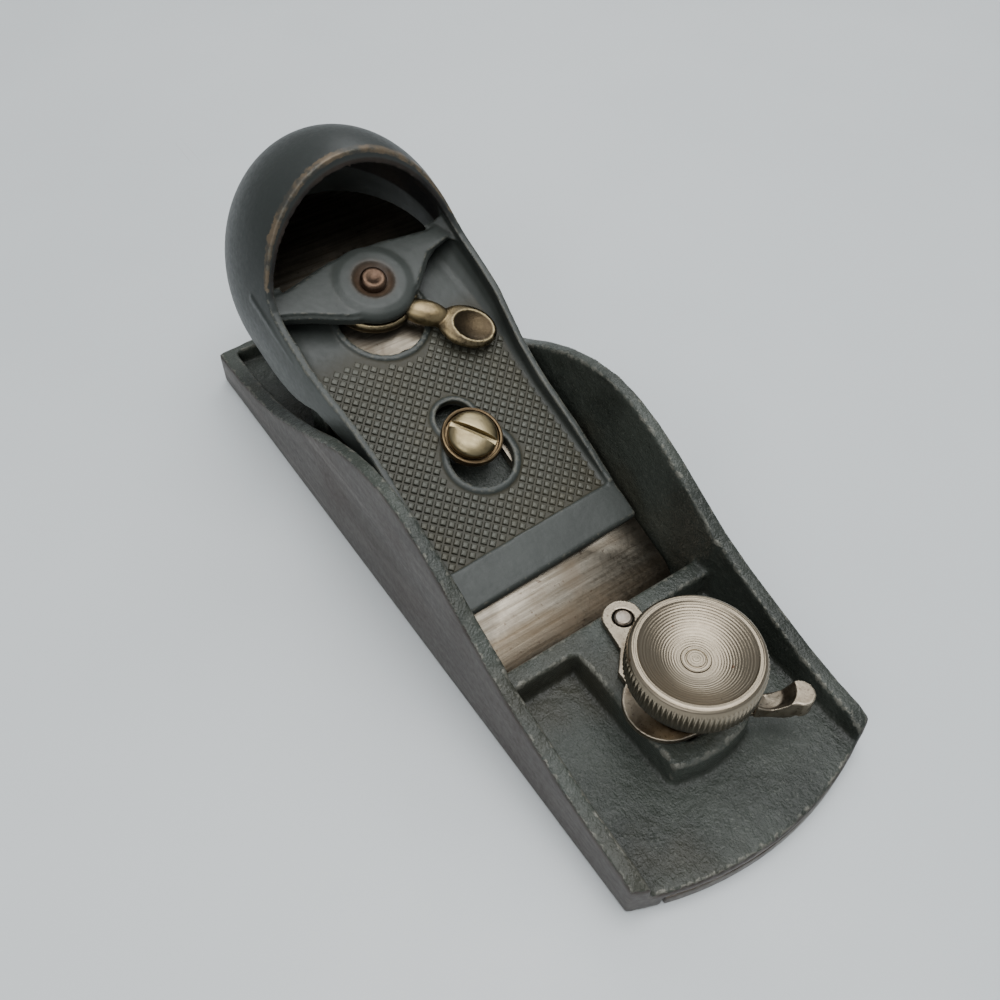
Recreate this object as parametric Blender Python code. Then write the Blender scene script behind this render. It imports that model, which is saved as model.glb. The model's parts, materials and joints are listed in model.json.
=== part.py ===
"""Adjustable-mouth block plane, built as separate pieces in their working places.

Frame: +X to the toe, +Y to the plane's left, +Z up, sole on z = 0, metres.
Shapes are drawn in millimetres and scaled once when a piece is finished.
The blade lies on a bed that climbs to the rear; bed-frame geometry uses
X down the slope, Y across, Z out of the blade's upper face.
"""
import math

import bmesh
import bpy
from mathutils import Matrix, Vector

MM = 0.001
SEAM = 0.3

# body casting
LENGTH = 152.0
WIDTH = 51.2
TOE_SAG = 5.7
HEEL_SAG = 1.2
INNER_HALF = 21.9
WALL_DRAFT = 0.042
DECK_Z = 4.8
BAR_Z = 10.6
BAR_REAR = 30.2
BAR_FRONT = 34.0
BOSS_HALF = 8.2
BOSS_FRONT = 61.3
WELL_Z = 4.2
RIM_LINE = (
    (-77.0, 7.6), (-70.0, 7.9), (-62.0, 8.3), (-55.0, 9.4), (-47.0, 11.7), (-40.0, 14.7),
    (-34.0, 17.8), (-27.0, 21.6), (-20.0, 25.7), (-13.0, 29.0), (-6.0, 31.2), (1.0, 32.1),
    (7.0, 31.4), (13.0, 29.5), (19.0, 26.8), (26.0, 22.9), (33.0, 19.0), (40.0, 16.2),
    (48.0, 13.7), (56.0, 11.3), (63.0, 9.8), (68.0, 9.2), (71.0, 8.0), (74.0, 6.2), (77.0, 5.2),
)

# bed and blade
BED_DEG = 21.0
BED_X = 33.3
BED_Z = 0.3
BLADE_HALF = 20.65
BLADE_T = 2.1
BLADE_END = 112.5
BLADE_SKEW = 1.2
BLADE_TIP = 4.75
BEVEL_END = 9.2
BED_H = -BLADE_T - SEAM

# mouth parts
PLATE_T = 2.4
PLATE_HALF = 19.7
PLATE_REAR = 29.8
KNOB_X = 52.0
KNOB_R = 11.0
KNOB_TOP = 27.7
KNOB_RIBS = 56
PIN_X = 33.6
PIN_Y = 2.3
LEVER_Z = BAR_Z + SEAM
LEVER_T = 1.2
MM_PER_DEG = 0.12

# lever cap
CAP_SKEW = 2.0
CAP_FRONT = 19.4
CAP_STEP = 26.9
CAP_HALF = 20.0
HOOD_S = 93.4
HOOD_A = 25.3
HOOD_B = 23.0
HOOD_C = 28.6
HOOD_TILT = 4.5
HOOD_WALL = 1.35
HOOD_ROOF = 2.6
SCREW_S = 48.1
RIVET_S = 84.2
BRIDGE_H = 8.2

# adjuster
LAT_S = 74.0
NUT_X = -64.0
NUT_Z = 12.6
CRANK_X = -44.0
CRANK_Z = 14.0


def bed_matrix(s=0.0, skew=0.0):
    """Placement on the bed, s up the slope from the mouth, skewed about the cap screw."""
    base = Matrix.Translation(Vector((BED_X, 0.0, BED_Z)))
    turn = Matrix.Rotation(math.radians(BED_DEG), 4, "Y")
    pivot = Matrix.Translation(Vector((-SCREW_S, 0.0, 0.0)))
    swing = Matrix.Rotation(math.radians(skew), 4, "Z")
    return base @ turn @ pivot @ swing @ Matrix.Translation(Vector((SCREW_S - s, 0.0, 0.0)))


def cap_matrix(s=0.0):
    return bed_matrix(s, CAP_SKEW)


def blade_matrix(s=0.0):
    return bed_matrix(s, BLADE_SKEW)


def clear_scene():
    for obj in list(bpy.data.objects):
        bpy.data.objects.remove(obj, do_unlink=True)


def material(name, rgb, metallic, roughness):
    mat = bpy.data.materials.new(name)
    mat.use_nodes = True
    shader = mat.node_tree.nodes["Principled BSDF"]
    shader.inputs["Base Color"].default_value = (*rgb, 1.0)
    shader.inputs["Metallic"].default_value = metallic
    shader.inputs["Roughness"].default_value = roughness
    mat.diffuse_color = (*rgb, 1.0)
    return mat


def add_object(name, bm, matrix=None):
    bmesh.ops.recalc_face_normals(bm, faces=bm.faces)
    mesh = bpy.data.meshes.new(name)
    bm.to_mesh(mesh)
    bm.free()
    obj = bpy.data.objects.new(name, mesh)
    bpy.context.scene.collection.objects.link(obj)
    if matrix is not None:
        obj.matrix_world = matrix
    return obj


def prism(name, outline, low, high, axis="Z", matrix=None):
    """Extrude a closed outline (mm) between low and high along one axis."""
    order = {"Z": lambda a, b, c: (a, b, c), "Y": lambda a, b, c: (a, c, b)}[axis]
    bm = bmesh.new()
    rings = []
    for level in (low, high):
        rings.append([bm.verts.new(Vector(order(a, b, level))) for a, b in outline])
    count = len(outline)
    for i in range(count):
        j = (i + 1) % count
        bm.faces.new((rings[0][i], rings[0][j], rings[1][j], rings[1][i]))
    bm.faces.new(rings[0][::-1])
    bm.faces.new(rings[1])
    return add_object(name, bm, matrix)


def box(name, x, y, z, matrix=None):
    outline = ((x[0], y[0]), (x[1], y[0]), (x[1], y[1]), (x[0], y[1]))
    return prism(name, outline, z[0], z[1], "Z", matrix)


def lathe(name, profile, steps, matrix=None, wave=None):
    """Turn a closed (radius, height) profile about Z; wave may ripple the radius."""
    bm = bmesh.new()
    rings = []
    for radius, height in profile:
        if radius < 1e-6:
            rings.append([bm.verts.new((0.0, 0.0, height))])
            continue
        ring = []
        for k in range(steps):
            angle = 2.0 * math.pi * k / steps
            r = radius + (wave(radius, height, k) if wave else 0.0)
            spot = Vector((r * math.cos(angle), r * math.sin(angle), height))
            ring.append(bm.verts.new(spot))
        rings.append(ring)
    pairs = list(zip(rings, rings[1:])) + [(rings[-1], rings[0])]
    for a, b in pairs:
        for k in range(steps):
            n = (k + 1) % steps
            if len(a) == 1 and len(b) == 1:
                continue
            if len(a) == 1:
                bm.faces.new((a[0], b[k], b[n]))
            elif len(b) == 1:
                bm.faces.new((a[k], b[0], a[n]))
            else:
                bm.faces.new((a[k], b[k], b[n], a[n]))
    return add_object(name, bm, matrix)


def tidy(mesh):
    """Weld stray points and split every face so the next boolean starts clean."""
    bm = bmesh.new()
    bm.from_mesh(mesh)
    bmesh.ops.remove_doubles(bm, verts=bm.verts, dist=2e-4)
    bmesh.ops.dissolve_degenerate(bm, edges=bm.edges, dist=1e-4)
    bmesh.ops.triangulate(bm, faces=bm.faces)
    bm.to_mesh(mesh)
    bm.free()


def combine(target, others, operation):
    """Apply exact booleans in order and drop the helper solids."""
    for other in others:
        mod = target.modifiers.new("op", "BOOLEAN")
        mod.operation = operation
        mod.solver = "EXACT"
        mod.object = other
        bpy.context.view_layer.update()
        graph = bpy.context.evaluated_depsgraph_get()
        mesh = bpy.data.meshes.new_from_object(target.evaluated_get(graph))
        target.modifiers.clear()
        target.data = mesh
        bpy.data.objects.remove(other, do_unlink=True)
        tidy(mesh)
    return target


def finish(obj, mat, smooth_deg=None):
    obj.data.materials.clear()
    obj.data.materials.append(mat)
    bm = bmesh.new()
    bm.from_mesh(obj.data)
    bmesh.ops.remove_doubles(bm, verts=bm.verts, dist=1e-3)
    bmesh.ops.dissolve_degenerate(bm, edges=bm.edges, dist=1e-3)
    bmesh.ops.scale(bm, verts=bm.verts, vec=(MM, MM, MM))
    bm.to_mesh(obj.data)
    bm.free()
    place = obj.matrix_world.copy()
    place.translation *= MM
    obj.matrix_world = place
    if smooth_deg is not None:
        obj.data.set_sharp_from_angle(angle=math.radians(smooth_deg))
        for face in obj.data.polygons:
            face.use_smooth = True
    return obj


def arc_points(cx, cy, radius, start, stop, count):
    points = []
    for k in range(count + 1):
        angle = math.radians(start + (stop - start) * k / count)
        points.append((cx + radius * math.cos(angle), cy + radius * math.sin(angle)))
    return points


def bow(half, sag, tip, count):
    """Points of a shallow arc from y=-half to y=+half whose crown is at x=tip."""
    radius = (half * half + sag * sag) / (2.0 * abs(sag))
    side = 1.0 if sag > 0 else -1.0
    points = []
    for k in range(count + 1):
        y = -half + 2.0 * half * k / count
        x = tip - side * (radius - math.sqrt(radius * radius - y * y))
        points.append((x, y))
    return points


def body_outline(half, extra=0.0):
    end = LENGTH / 2.0
    toe = bow(half, TOE_SAG, end + extra, 20)
    heel = bow(half, -HEEL_SAG, -end - extra, 6)
    return toe + heel[::-1]


# ---------------------------------------------------------------- body

def bed_prism(name, s, y, h):
    return box(name, (-s[1], -s[0]), y, h, bed_matrix())


def body_shell():
    shell = prism("body", body_outline(WIDTH / 2.0), 0.0, 40.0)
    profile = [(-90.0, -5.0), *[(x, z) for x, z in ((-90.0, 7.6), *RIM_LINE, (90.0, 5.2))]]
    profile.append((90.0, -5.0))
    rim = prism("rim", profile, -40.0, 40.0, "Y")
    combine(shell, [rim], "INTERSECT")
    half = INNER_HALF + 0.4
    front = bow(half, TOE_SAG, LENGTH / 2.0 + 3.0, 20)
    deck = prism("deck", [(BAR_FRONT, -half), *front, (BAR_FRONT, half)],
                 DECK_Z, 50.0)
    throat = box("throat", (27.0, BAR_REAR), (-INNER_HALF, INNER_HALF), (2.7, 50.0))
    over = box("over", (29.0, 35.0), (-INNER_HALF, INNER_HALF), (BAR_Z, 50.0))
    well = ((-73.0, WELL_Z), (14.0, WELL_Z), (14.0, 0.8), (28.0, 0.8), (28.0, 50.0), (-73.0, 50.0))
    rear = prism("rear", well, -INNER_HALF, INNER_HALF, "Y")
    cutters = [deck, throat, over, rear]
    for cutter in cutters:
        draft(cutter)
    return combine(shell, cutters, "DIFFERENCE")


def draft(cutter):
    """Open the well a little toward the rim, as a moulded wall is."""
    for vert in cutter.data.vertices:
        vert.co.y *= 1.0 + WALL_DRAFT / INNER_HALF * max(vert.co.z - DECK_Z, 0.0)


def bed_ramp():
    """Solid wedge under the front of the blade, its tip at the mouth."""
    run = math.tan(math.radians(BED_DEG))
    at = lambda x: BED_Z + BED_H / math.cos(math.radians(BED_DEG)) + (BED_X - x) * run
    tip = BED_X + (BED_Z + BED_H / math.cos(math.radians(BED_DEG)) - 0.35) / run
    outline = ((tip, 0.0), (tip, 0.35), (4.0, at(4.0)), (-2.0, WELL_Z - 1.0), (-2.0, 0.0))
    half = WIDTH / 2.0 - 1.5
    return prism("ramp", outline, -half, half, "Y")


def screw_pad():
    pad = bed_prism("pad", (34.0, 58.0), (-8.0, 8.0), (-40.0, BED_H))
    floor = box("floor", (-40.0, 20.0), (-30.0, 30.0), (1.0, 40.0))
    return combine(pad, [floor], "INTERSECT")


def rear_bridge():
    """Cross wall that carries the blade behind the slot, recessed for the side lever."""
    wall = box("wall", (-38.4, -31.4), (-20.2, 20.2), (1.0, 40.0))
    keep = bed_prism("keep", (20.0, 160.0), (-30.0, 30.0), (-80.0, BED_H))
    relief = bed_prism("relief", (60.0, 90.0), (-9.5, 9.5), (-4.3, 5.0))
    combine(wall, [keep], "INTERSECT")
    combine(wall, [relief], "DIFFERENCE")
    return wall


def crank_lugs():
    lugs = []
    for side in (-1.0, 1.0):
        low, high = sorted((side * 4.2, side * 7.0))
        outline = [(CRANK_X - 4.0, WELL_Z - 1.0), (CRANK_X + 5.5, WELL_Z - 1.0)]
        outline += arc_points(CRANK_X, CRANK_Z, 4.0, 0.0, 180.0, 10)
        lugs.append(prism("lug", outline, low, high, "Y"))
    return lugs


def make_body():
    body = body_shell()
    boss = [(33.0, -BOSS_HALF)]
    boss += [(x, y) for x, y in bow(BOSS_HALF, 1.6, BOSS_FRONT, 10)]
    boss.append((33.0, BOSS_HALF))
    adds = [prism("boss", boss, 3.0, BAR_Z), bed_ramp(), screw_pad(), rear_bridge()]
    adds += crank_lugs()
    post = ((7.0, WELL_Z - 1.0), (5.2, 7.9), (0.0, 7.9), (0.0, WELL_Z - 1.0))
    adds.append(lathe("post", post, 24, Matrix.Translation(Vector((NUT_X, 0, 0)))))
    combine(body, adds, "UNION")
    mouth = box("mouth", (26.0, BAR_REAR + 3.0), (-INNER_HALF, INNER_HALF), (-1.0, 2.7))
    tongue = box("tongue", (BAR_REAR - 1.0, 90.0), (-PLATE_HALF - 0.3, PLATE_HALF + 0.3),
                 (-1.0, PLATE_T + SEAM))
    wedge = bed_ramp()
    combine(mouth, [wedge], "DIFFERENCE")
    hollow = box("hollow", (KNOB_X - 8.6, KNOB_X + 8.2), (-6.5, 6.5), (-1.0, 8.6))
    stem = box("stem", (KNOB_X - 5.6, KNOB_X + 5.2), (-3.5, 3.5), (-1.0, 20.0))
    pin = lathe("pinhole", ((1.9, 5.0), (1.9, 14.0), (0.0, 14.0), (0.0, 5.0)), 20,
                Matrix.Translation(Vector((PIN_X, PIN_Y, 0))))
    bore = lathe("bore", ((2.7, -14.0), (2.7, 8.0), (0.0, 8.0), (0.0, -14.0)), 24,
                 bed_matrix(SCREW_S))
    rivet = lathe("rivethole", ((1.8, -12.0), (1.8, 2.0), (0.0, 2.0), (0.0, -12.0)), 20,
                  bed_matrix(LAT_S))
    axle = lathe("axle", ((1.8, -9.0), (1.8, 9.0), (0.0, 9.0), (0.0, -9.0)), 20,
                 Matrix.Translation(Vector((CRANK_X, 0, CRANK_Z)))
                 @ Matrix.Rotation(math.radians(90), 4, "X"))
    stud = lathe("studhole", ((2.8, 1.2), (2.8, 20.0), (0.0, 20.0), (0.0, 1.2)), 24,
                 Matrix.Translation(Vector((NUT_X, 0, 0))))
    combine(body, [mouth, tongue, hollow, stem, pin, bore, rivet, axle, stud], "DIFFERENCE")
    return finish(body, cast_iron(), 35)


# ---------------------------------------------------------------- front group

def make_mouth_plate():
    front = bow(PLATE_HALF, 3.3, LENGTH / 2.0 - 0.1, 16)
    outline = [(PLATE_REAR, -PLATE_HALF), *front, (PLATE_REAR, PLATE_HALF)]
    plate = prism("mouth_plate", outline, 0.0, PLATE_T)
    plate.data.transform(Matrix.Translation(Vector((-KNOB_X, 0, 0))))
    plate.matrix_world = Matrix.Translation(Vector((KNOB_X, 0, 0)))
    boss = lathe("boss", ((6.0, 1.0), (6.0, 8.2), (0.0, 8.2), (0.0, 1.0)), 32,
                 plate.matrix_world.copy())
    bevel = prism("bevel", ((PLATE_REAR - 1, 1.0), (PLATE_REAR + 1.6, 4.0), (PLATE_REAR - 1, 4.0)),
                  -30.0, 30.0, "Y")
    bore = lathe("bore", ((3.3, 1.2), (3.3, 9.0), (0.0, 9.0), (0.0, 1.2)), 32,
                 plate.matrix_world.copy())
    combine(plate, [boss], "UNION")
    combine(plate, [bevel, bore], "DIFFERENCE")
    return finish(plate, ground_iron(), 35)


def make_knob_stud():
    """Threaded post riveted into the knob; its end shows in the middle of the dish."""
    profile = ((0.0, 1.6), (2.6, 1.6), (3.0, 2.0), (3.0, 20.8), (2.4, 20.8), (2.4, 25.1),
               (2.0, 25.35), (0.0, 25.35))
    spot = Matrix.Translation(Vector((KNOB_X, 0, 0)))
    return finish(lathe("knob_stud", profile, 32, spot), nickel(), 35)


def make_front_knob():
    """Dished finger knob with a straight-ribbed edge and a waisted neck."""
    top = KNOB_TOP
    profile = (
        (3.3, 12.4), (5.6, 12.4), (5.6, 15.0), (6.2, 17.0), (8.0, 19.4), (10.0, 20.8),
        (10.5, 21.6), (KNOB_R, 22.1), (KNOB_R, top - 1.1), (10.5, top - 0.5), (10.3, top - 0.1),
        (9.9, top), (9.4, top - 0.1), (9.1, top - 0.5), (6.8, top - 1.7), (4.2, top - 2.3),
        (2.7, top - 2.45), (2.7, 21.2), (3.3, 21.2),
    )
    ribs = 2 * KNOB_RIBS

    def wave(radius, height, k):
        return -0.22 if radius >= KNOB_R - 1e-6 and k % 2 else 0.0

    spot = Matrix.Translation(Vector((KNOB_X, 0, 0)))
    return finish(lathe("front_knob", profile, ribs, spot, wave), nickel(), 35)


def rotated(x, y, degrees):
    angle = math.radians(degrees)
    return (x * math.cos(angle) - y * math.sin(angle), x * math.sin(angle) + y * math.cos(angle))


def make_eccentric_lever():
    """Flat lever on a pin in the bar; its slanted slot moves the knob post fore and aft."""
    disc = (50.2 - PIN_X, -2.5 - PIN_Y)
    tip = (61.4 - PIN_X, 14.0 - PIN_Y)
    outline = arc_points(0.0, 0.0, 3.7, 100.0, 250.0, 12)
    outline += [(4.6, -4.4), (8.0, -7.6)]
    outline += arc_points(disc[0], disc[1], 7.0, 205.0, 350.0, 16)
    outline += [(24.8, 0.0), (26.2, 5.6), (tip[0] + 1.6, tip[1] - 2.0)]
    outline += arc_points(tip[0], tip[1], 2.4, -40.0, 130.0, 8)
    outline += [(24.6, 9.6), (19.0, 6.6), (10.0, 3.9), (4.0, 3.2)]
    place = Matrix.Translation(Vector((PIN_X, PIN_Y, LEVER_Z)))
    lever = prism("eccentric_lever", outline, 0.0, LEVER_T, "Z", place)
    nib = prism("nib", [(24.2, 8.0), (26.8, 5.2), *arc_points(tip[0] + 1.2, tip[1] + 1.2, 2.3,
                -60.0, 150.0, 8)], LEVER_T - 0.4, 4.6, "Z", place)
    scoop = lathe("scoop", ((0.0, -4.6), (2.8, -3.6), (4.4, -1.4), (4.6, 0.0), (0.0, 0.0)), 24,
                  place @ Matrix.Translation(Vector((tip[0] - 2.6, tip[1] - 2.4, 5.9))))
    scoop.data.transform(Matrix.Scale(1.0, 4))
    combine(lever, [nib], "UNION")
    holes = [scoop, lathe("hole", ((1.95, -2.0), (1.95, 4.0), (0.0, 4.0), (0.0, -2.0)), 24, place)]
    for step in range(-7, 4):
        turn = 2.0 * step
        x, y = rotated(KNOB_X - MM_PER_DEG * turn - PIN_X, -PIN_Y, -turn)
        spot = place @ Matrix.Translation(Vector((x, y, 0)))
        holes.append(lathe("slot", ((3.4, -2.0), (3.4, 4.0), (0.0, 4.0), (0.0, -2.0)), 24, spot))
    combine(lever, holes, "DIFFERENCE")
    return finish(lever, nickel(), 30)


def make_eccentric_pin():
    profile = ((0.0, 5.3), (1.3, 5.3), (1.6, 5.6), (1.6, 12.1), (1.3, 12.4), (0.0, 12.4))
    spot = Matrix.Translation(Vector((PIN_X, PIN_Y, 0)))
    return finish(lathe("eccentric_pin", profile, 20, spot), steel(), 35)


# ---------------------------------------------------------------- blade

def make_blade():
    """Cutter: bevel up, long slot, cross grooves on the underside near the rear."""
    side = [(-BLADE_TIP, -BLADE_T), (-BEVEL_END, 0.0), (-BLADE_END, 0.0), (-BLADE_END, -BLADE_T)]
    blade = prism("blade", side, -BLADE_HALF, BLADE_HALF, "Y", blade_matrix())
    corners = []
    for sign in (-1.0, 1.0):
        corner = [(-BLADE_END - 5, sign * 1.0), (-BLADE_END - 5, sign * 30.0),
                  (-86.0, sign * 30.0), (-86.0, sign * 20.8)]
        for deg in range(5, 95, 10):
            angle = math.radians(deg)
            corner.append((-91.0 - 21.5 * math.sin(angle), sign * 20.3 * math.cos(angle)))
        corners.append(prism("corner", corner, -6.0, 4.0, "Z", blade_matrix()))
    slot = arc_points(-32.0, 0.0, 5.75, -90.0, 90.0, 12) + arc_points(-66.0, 0.0, 5.75, 90, 270, 12)
    cuts = corners + [prism("slot", slot, -6.0, 4.0, "Z", blade_matrix())]
    for k in range(9):
        s = 77.5 + 1.6 * k
        cuts.append(box("groove", (-s - 0.45, -s + 0.45), (-9.0, 9.0), (-4.0, -BLADE_T + 0.7),
                        blade_matrix()))
    combine(blade, cuts, "DIFFERENCE")
    return finish(blade, steel(), 30)


# ---------------------------------------------------------------- lever cap

def cap_half(s, wall=0.0):
    """Half width of the cap at distance s up the bed."""
    knots = ((0.0, 20.0), (52.0, 20.1), (60.0, 20.7), (66.0, 21.7), (72.0, 22.7), (80.0, 23.0),
             (140.0, 23.0))
    for (s0, b0), (s1, b1) in zip(knots, knots[1:]):
        if s <= s1:
            return b0 + (b1 - b0) * (s - s0) / (s1 - s0) - wall
    return knots[-1][1] - wall


def hood_solid(name, wall, roof, front):
    """Closed egg-ended trunk: width follows the cap, the rear closes as an ellipsoid."""
    sections = []
    for s in (front, 54.0, 60.0, 66.0, 72.0, 80.0, 87.0, HOOD_S):
        sections.append((s, cap_half(s, wall), HOOD_C - roof, -0.2))
    for deg in (15, 30, 44, 56, 67, 77, 84):
        s = HOOD_S + (HOOD_A - wall) * math.sin(math.radians(deg))
        scale = math.cos(math.radians(deg))
        rise = math.tan(math.radians(HOOD_TILT)) * (s - HOOD_S)
        sections.append((s, (HOOD_B - wall) * scale, (HOOD_C - roof) * scale, rise - 0.2))
    bm = bmesh.new()
    rings = []
    for s, half, tall, mid in sections:
        ring = []
        for k in range(44):
            angle = 2.0 * math.pi * (k + 0.5) / 44
            spot = (-s, half * math.cos(angle), tall * math.sin(angle) + mid)
            ring.append(bm.verts.new(Vector(spot)))
        rings.append(ring)
    for a, b in zip(rings, rings[1:]):
        for k in range(44):
            n = (k + 1) % 44
            bm.faces.new((a[k], a[n], b[n], b[k]))
    bm.faces.new(rings[0][::-1])
    bm.faces.new(rings[-1])
    return add_object(name, bm, cap_matrix())


def make_lever_cap():
    cap = hood_solid("lever_cap", 0.0, 0.0, CAP_STEP - 0.4)
    inner = hood_solid("inner", HOOD_WALL, HOOD_ROOF, 20.0)
    combine(cap, [inner], "DIFFERENCE")
    crest = [(-CAP_STEP, 2.6), (-33.0, 3.9), (-40.0, 4.8), (-48.0, 5.3), (-60.0, 6.4),
             (-71.0, 7.9), (-80.0, 8.9), (-85.0, 9.6), (-88.0, 11.4), (-92.5, 18.0),
             (-99.2, 29.5), (-101.0, 36.0), (-130.0, 36.0)]
    skirt = [(-130.0, -9.0), (-106.0, -9.4), (-94.0, -10.6), (-84.0, -9.2), (-77.0, -6.4),
             (-73.5, -2.0), (-72.0, 0.3), (-CAP_STEP, 0.3)]
    keep = prism("keep", crest + skirt, -40.0, 40.0, "Y", cap_matrix())
    combine(cap, [keep], "INTERSECT")
    combine(cap, [cap_plate()], "UNION")
    combine(cap, [bridge_solid()], "UNION")
    holes = [lathe("eye", ((2.2, 4.0), (2.2, 15.0), (0.0, 15.0), (0.0, 4.0)), 24,
                   cap_matrix(RIVET_S)),
             lathe("sink", ((4.4, BRIDGE_H - 1.4), (5.2, 12.0), (0.0, 12.0),
                            (0.0, BRIDGE_H - 1.4)), 32, cap_matrix(RIVET_S))]
    combine(cap, holes, "DIFFERENCE")
    return finish(cap, paint(), 40)


def cap_plate():
    """Face plate with a step, a rimmed keyhole and the cam window."""
    side = ((-CAP_FRONT, 0.3), (-CAP_FRONT, 1.5), (-CAP_FRONT - 0.5, 2.2), (-CAP_STEP, 2.5),
            (-CAP_STEP - 0.2, 2.0), (-92.0, 2.0), (-92.0, 0.3))
    plate = prism("plate", side, -CAP_HALF + 0.9, CAP_HALF - 0.9, "Y", cap_matrix())
    lip = ((-CAP_FRONT, 0.3), (-CAP_FRONT, 1.5), (-CAP_FRONT - 0.5, 2.2), (-CAP_STEP - 1.0, 2.5),
           (-CAP_STEP - 1.0, 0.3))
    front = prism("front", lip, -CAP_HALF, CAP_HALF, "Y", cap_matrix())
    lobes = [("rear", 53.3, 3.9, 4.9), ("front", 44.2, 6.3, 7.6)]
    rims = [lathe(label, ((outer_r, 0.9), (outer_r, 2.5), (0.0, 2.5), (0.0, 0.9)), 32,
                  cap_matrix(s)) for label, s, inner_r, outer_r in lobes]
    rims.append(prism("sill", oval(-79.6, -0.5, 10.2, 9.8, 32), 0.9, 2.5, "Z", cap_matrix()))
    combine(plate, [front, *rims], "UNION")
    holes = [lathe(label, ((inner_r, -1.0), (inner_r, 4.0), (0.0, 4.0), (0.0, -1.0)), 32,
                   cap_matrix(s)) for label, s, inner_r, outer_r in lobes]
    holes.append(prism("pane", oval(-79.6, -0.5, 9.1, 8.7, 32), -1.0, 5.0, "Z", cap_matrix()))
    return combine(plate, holes, "DIFFERENCE")


def bridge_solid():
    """Cross bridge over the cam with a round boss for the rivet."""
    wings = [(-90.0, -22.1), (-85.2, -22.1), (-82.4, -15.0), (-79.4, -7.0), (-79.4, 7.0),
             (-82.4, 15.0), (-85.2, 22.1), (-90.0, 22.1), (-91.6, 12.0), (-92.2, 0.0),
             (-91.6, -12.0)]
    boss = lathe("boss", ((8.1, 6.0), (8.1, BRIDGE_H - 0.8), (7.3, BRIDGE_H), (0.0, BRIDGE_H),
                          (0.0, 6.0)), 36, cap_matrix(RIVET_S))
    return combine(prism("bridge", wings, 5.6, 7.5, "Z", cap_matrix()), [boss], "UNION")


def oval(cx, cy, rx, ry, count):
    points = []
    for k in range(count):
        angle = 2.0 * math.pi * k / count
        points.append((cx + rx * math.cos(angle), cy + ry * math.sin(angle)))
    return points


def make_cam_lever():
    """Brass cam that swings under the bridge; rounded finger pad toward the left."""
    place = cap_matrix(RIVET_S)
    lever = lathe("cam_lever", ((8.7, 2.9), (9.2, 3.3), (9.2, 4.8), (8.8, 5.2), (0.0, 5.2),
                                (0.0, 2.9)), 40, place)
    cam = lathe("cam", ((4.2, 0.7), (4.2, 3.4), (0.0, 3.4), (0.0, 0.7)), 28, place)
    arm = prism("arm", [(2.0, 7.4), (7.8, 2.4), (11.0, 5.6), (15.0, 9.0), (12.0, 13.0),
                        (7.6, 10.6)], 3.1, 5.0, "Z", place)
    spread = [rotated(x, y, 42.0) for x, y in oval(0.0, 0.0, 5.3, 4.5, 28)]
    pad = prism("pad", [(x + 15.6, y + 12.6) for x, y in spread], 3.0, 6.0, "Z", place)
    combine(lever, [cam, arm, pad], "UNION")
    bore = lathe("bore", ((2.3, -2.0), (2.3, 12.0), (0.0, 12.0), (0.0, -2.0)), 24, place)
    combine(lever, [bore], "DIFFERENCE")
    return finish(lever, brass(), 30)


def make_cam_rivet():
    """Hollow rivet through the bridge and the cam."""
    top = BRIDGE_H + 0.8
    profile = ((1.1, 2.7), (1.9, 2.7), (1.9, BRIDGE_H - 1.0), (2.6, BRIDGE_H - 1.0),
               (2.9, top - 0.5), (2.4, top), (1.5, top), (1.1, top - 0.6))
    return finish(lathe("cam_rivet", profile, 28, cap_matrix(RIVET_S)), rusty_steel(), 35)


def make_cap_screw_ring():
    profile = ((2.6, 2.8), (5.7, 2.8), (6.0, 3.1), (6.0, 4.5), (5.8, 4.7), (5.4, 4.7), (5.2, 4.5),
               (5.2, 3.6), (2.6, 3.6))
    return finish(lathe("cap_screw_ring", profile, 40, bed_matrix(SCREW_S)), rusty_steel(), 35)


def make_cap_screw():
    profile = ((0.0, -12.5), (1.9, -12.5), (2.3, -12.0), (2.3, 3.9), (4.6, 3.9), (4.85, 4.2),
               (4.85, 5.1), (4.6, 5.6), (3.6, 6.2), (2.0, 6.55), (0.0, 6.65))
    screw = lathe("cap_screw", profile, 36, bed_matrix(SCREW_S))
    slot = box("slot", (-7.0, 7.0), (-0.6, 0.6), (5.3, 9.0),
               bed_matrix(SCREW_S) @ Matrix.Rotation(math.radians(38), 4, "Z"))
    combine(screw, [slot], "DIFFERENCE")
    return finish(screw, brass(), 35)


# ---------------------------------------------------------------- adjuster

def make_crank():
    """Bell-crank: nib under the blade, forked tail round the nut's neck."""
    place = Matrix.Translation(Vector((CRANK_X, 0, CRANK_Z)))
    side = [(3.8, -1.0), (3.0, 3.0), (1.8, 8.0), (0.5, 13.0), (-1.3, 12.7), (-1.6, 8.0),
            (-3.4, 3.2), (-9.0, 0.4), (-14.0, -0.2), (-14.0, -1.8), (-8.0, -2.4), (-3.0, -3.4),
            (2.0, -3.4)]
    crank = prism("depth_crank", side, -2.6, 2.6, "Y", place)
    tail = prism("tail", [(-11.5, -2.6), (-13.5, -5.9), (-20.0, -5.9), (-20.0, -3.6), (-16.0, -3.6),
                          (-15.2, -2.0), (-15.2, 2.0), (-16.0, 3.6), (-20.0, 3.6), (-20.0, 5.9),
                          (-13.5, 5.9), (-11.5, 2.6)], -1.8, -0.2, "Z", place)
    combine(crank, [tail], "UNION")
    bore = lathe("bore", ((1.8, -9.0), (1.8, 9.0), (0.0, 9.0), (0.0, -9.0)), 20,
                 place @ Matrix.Rotation(math.radians(90), 4, "X"))
    combine(crank, [bore], "DIFFERENCE")
    return finish(crank, steel(), 30)


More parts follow.
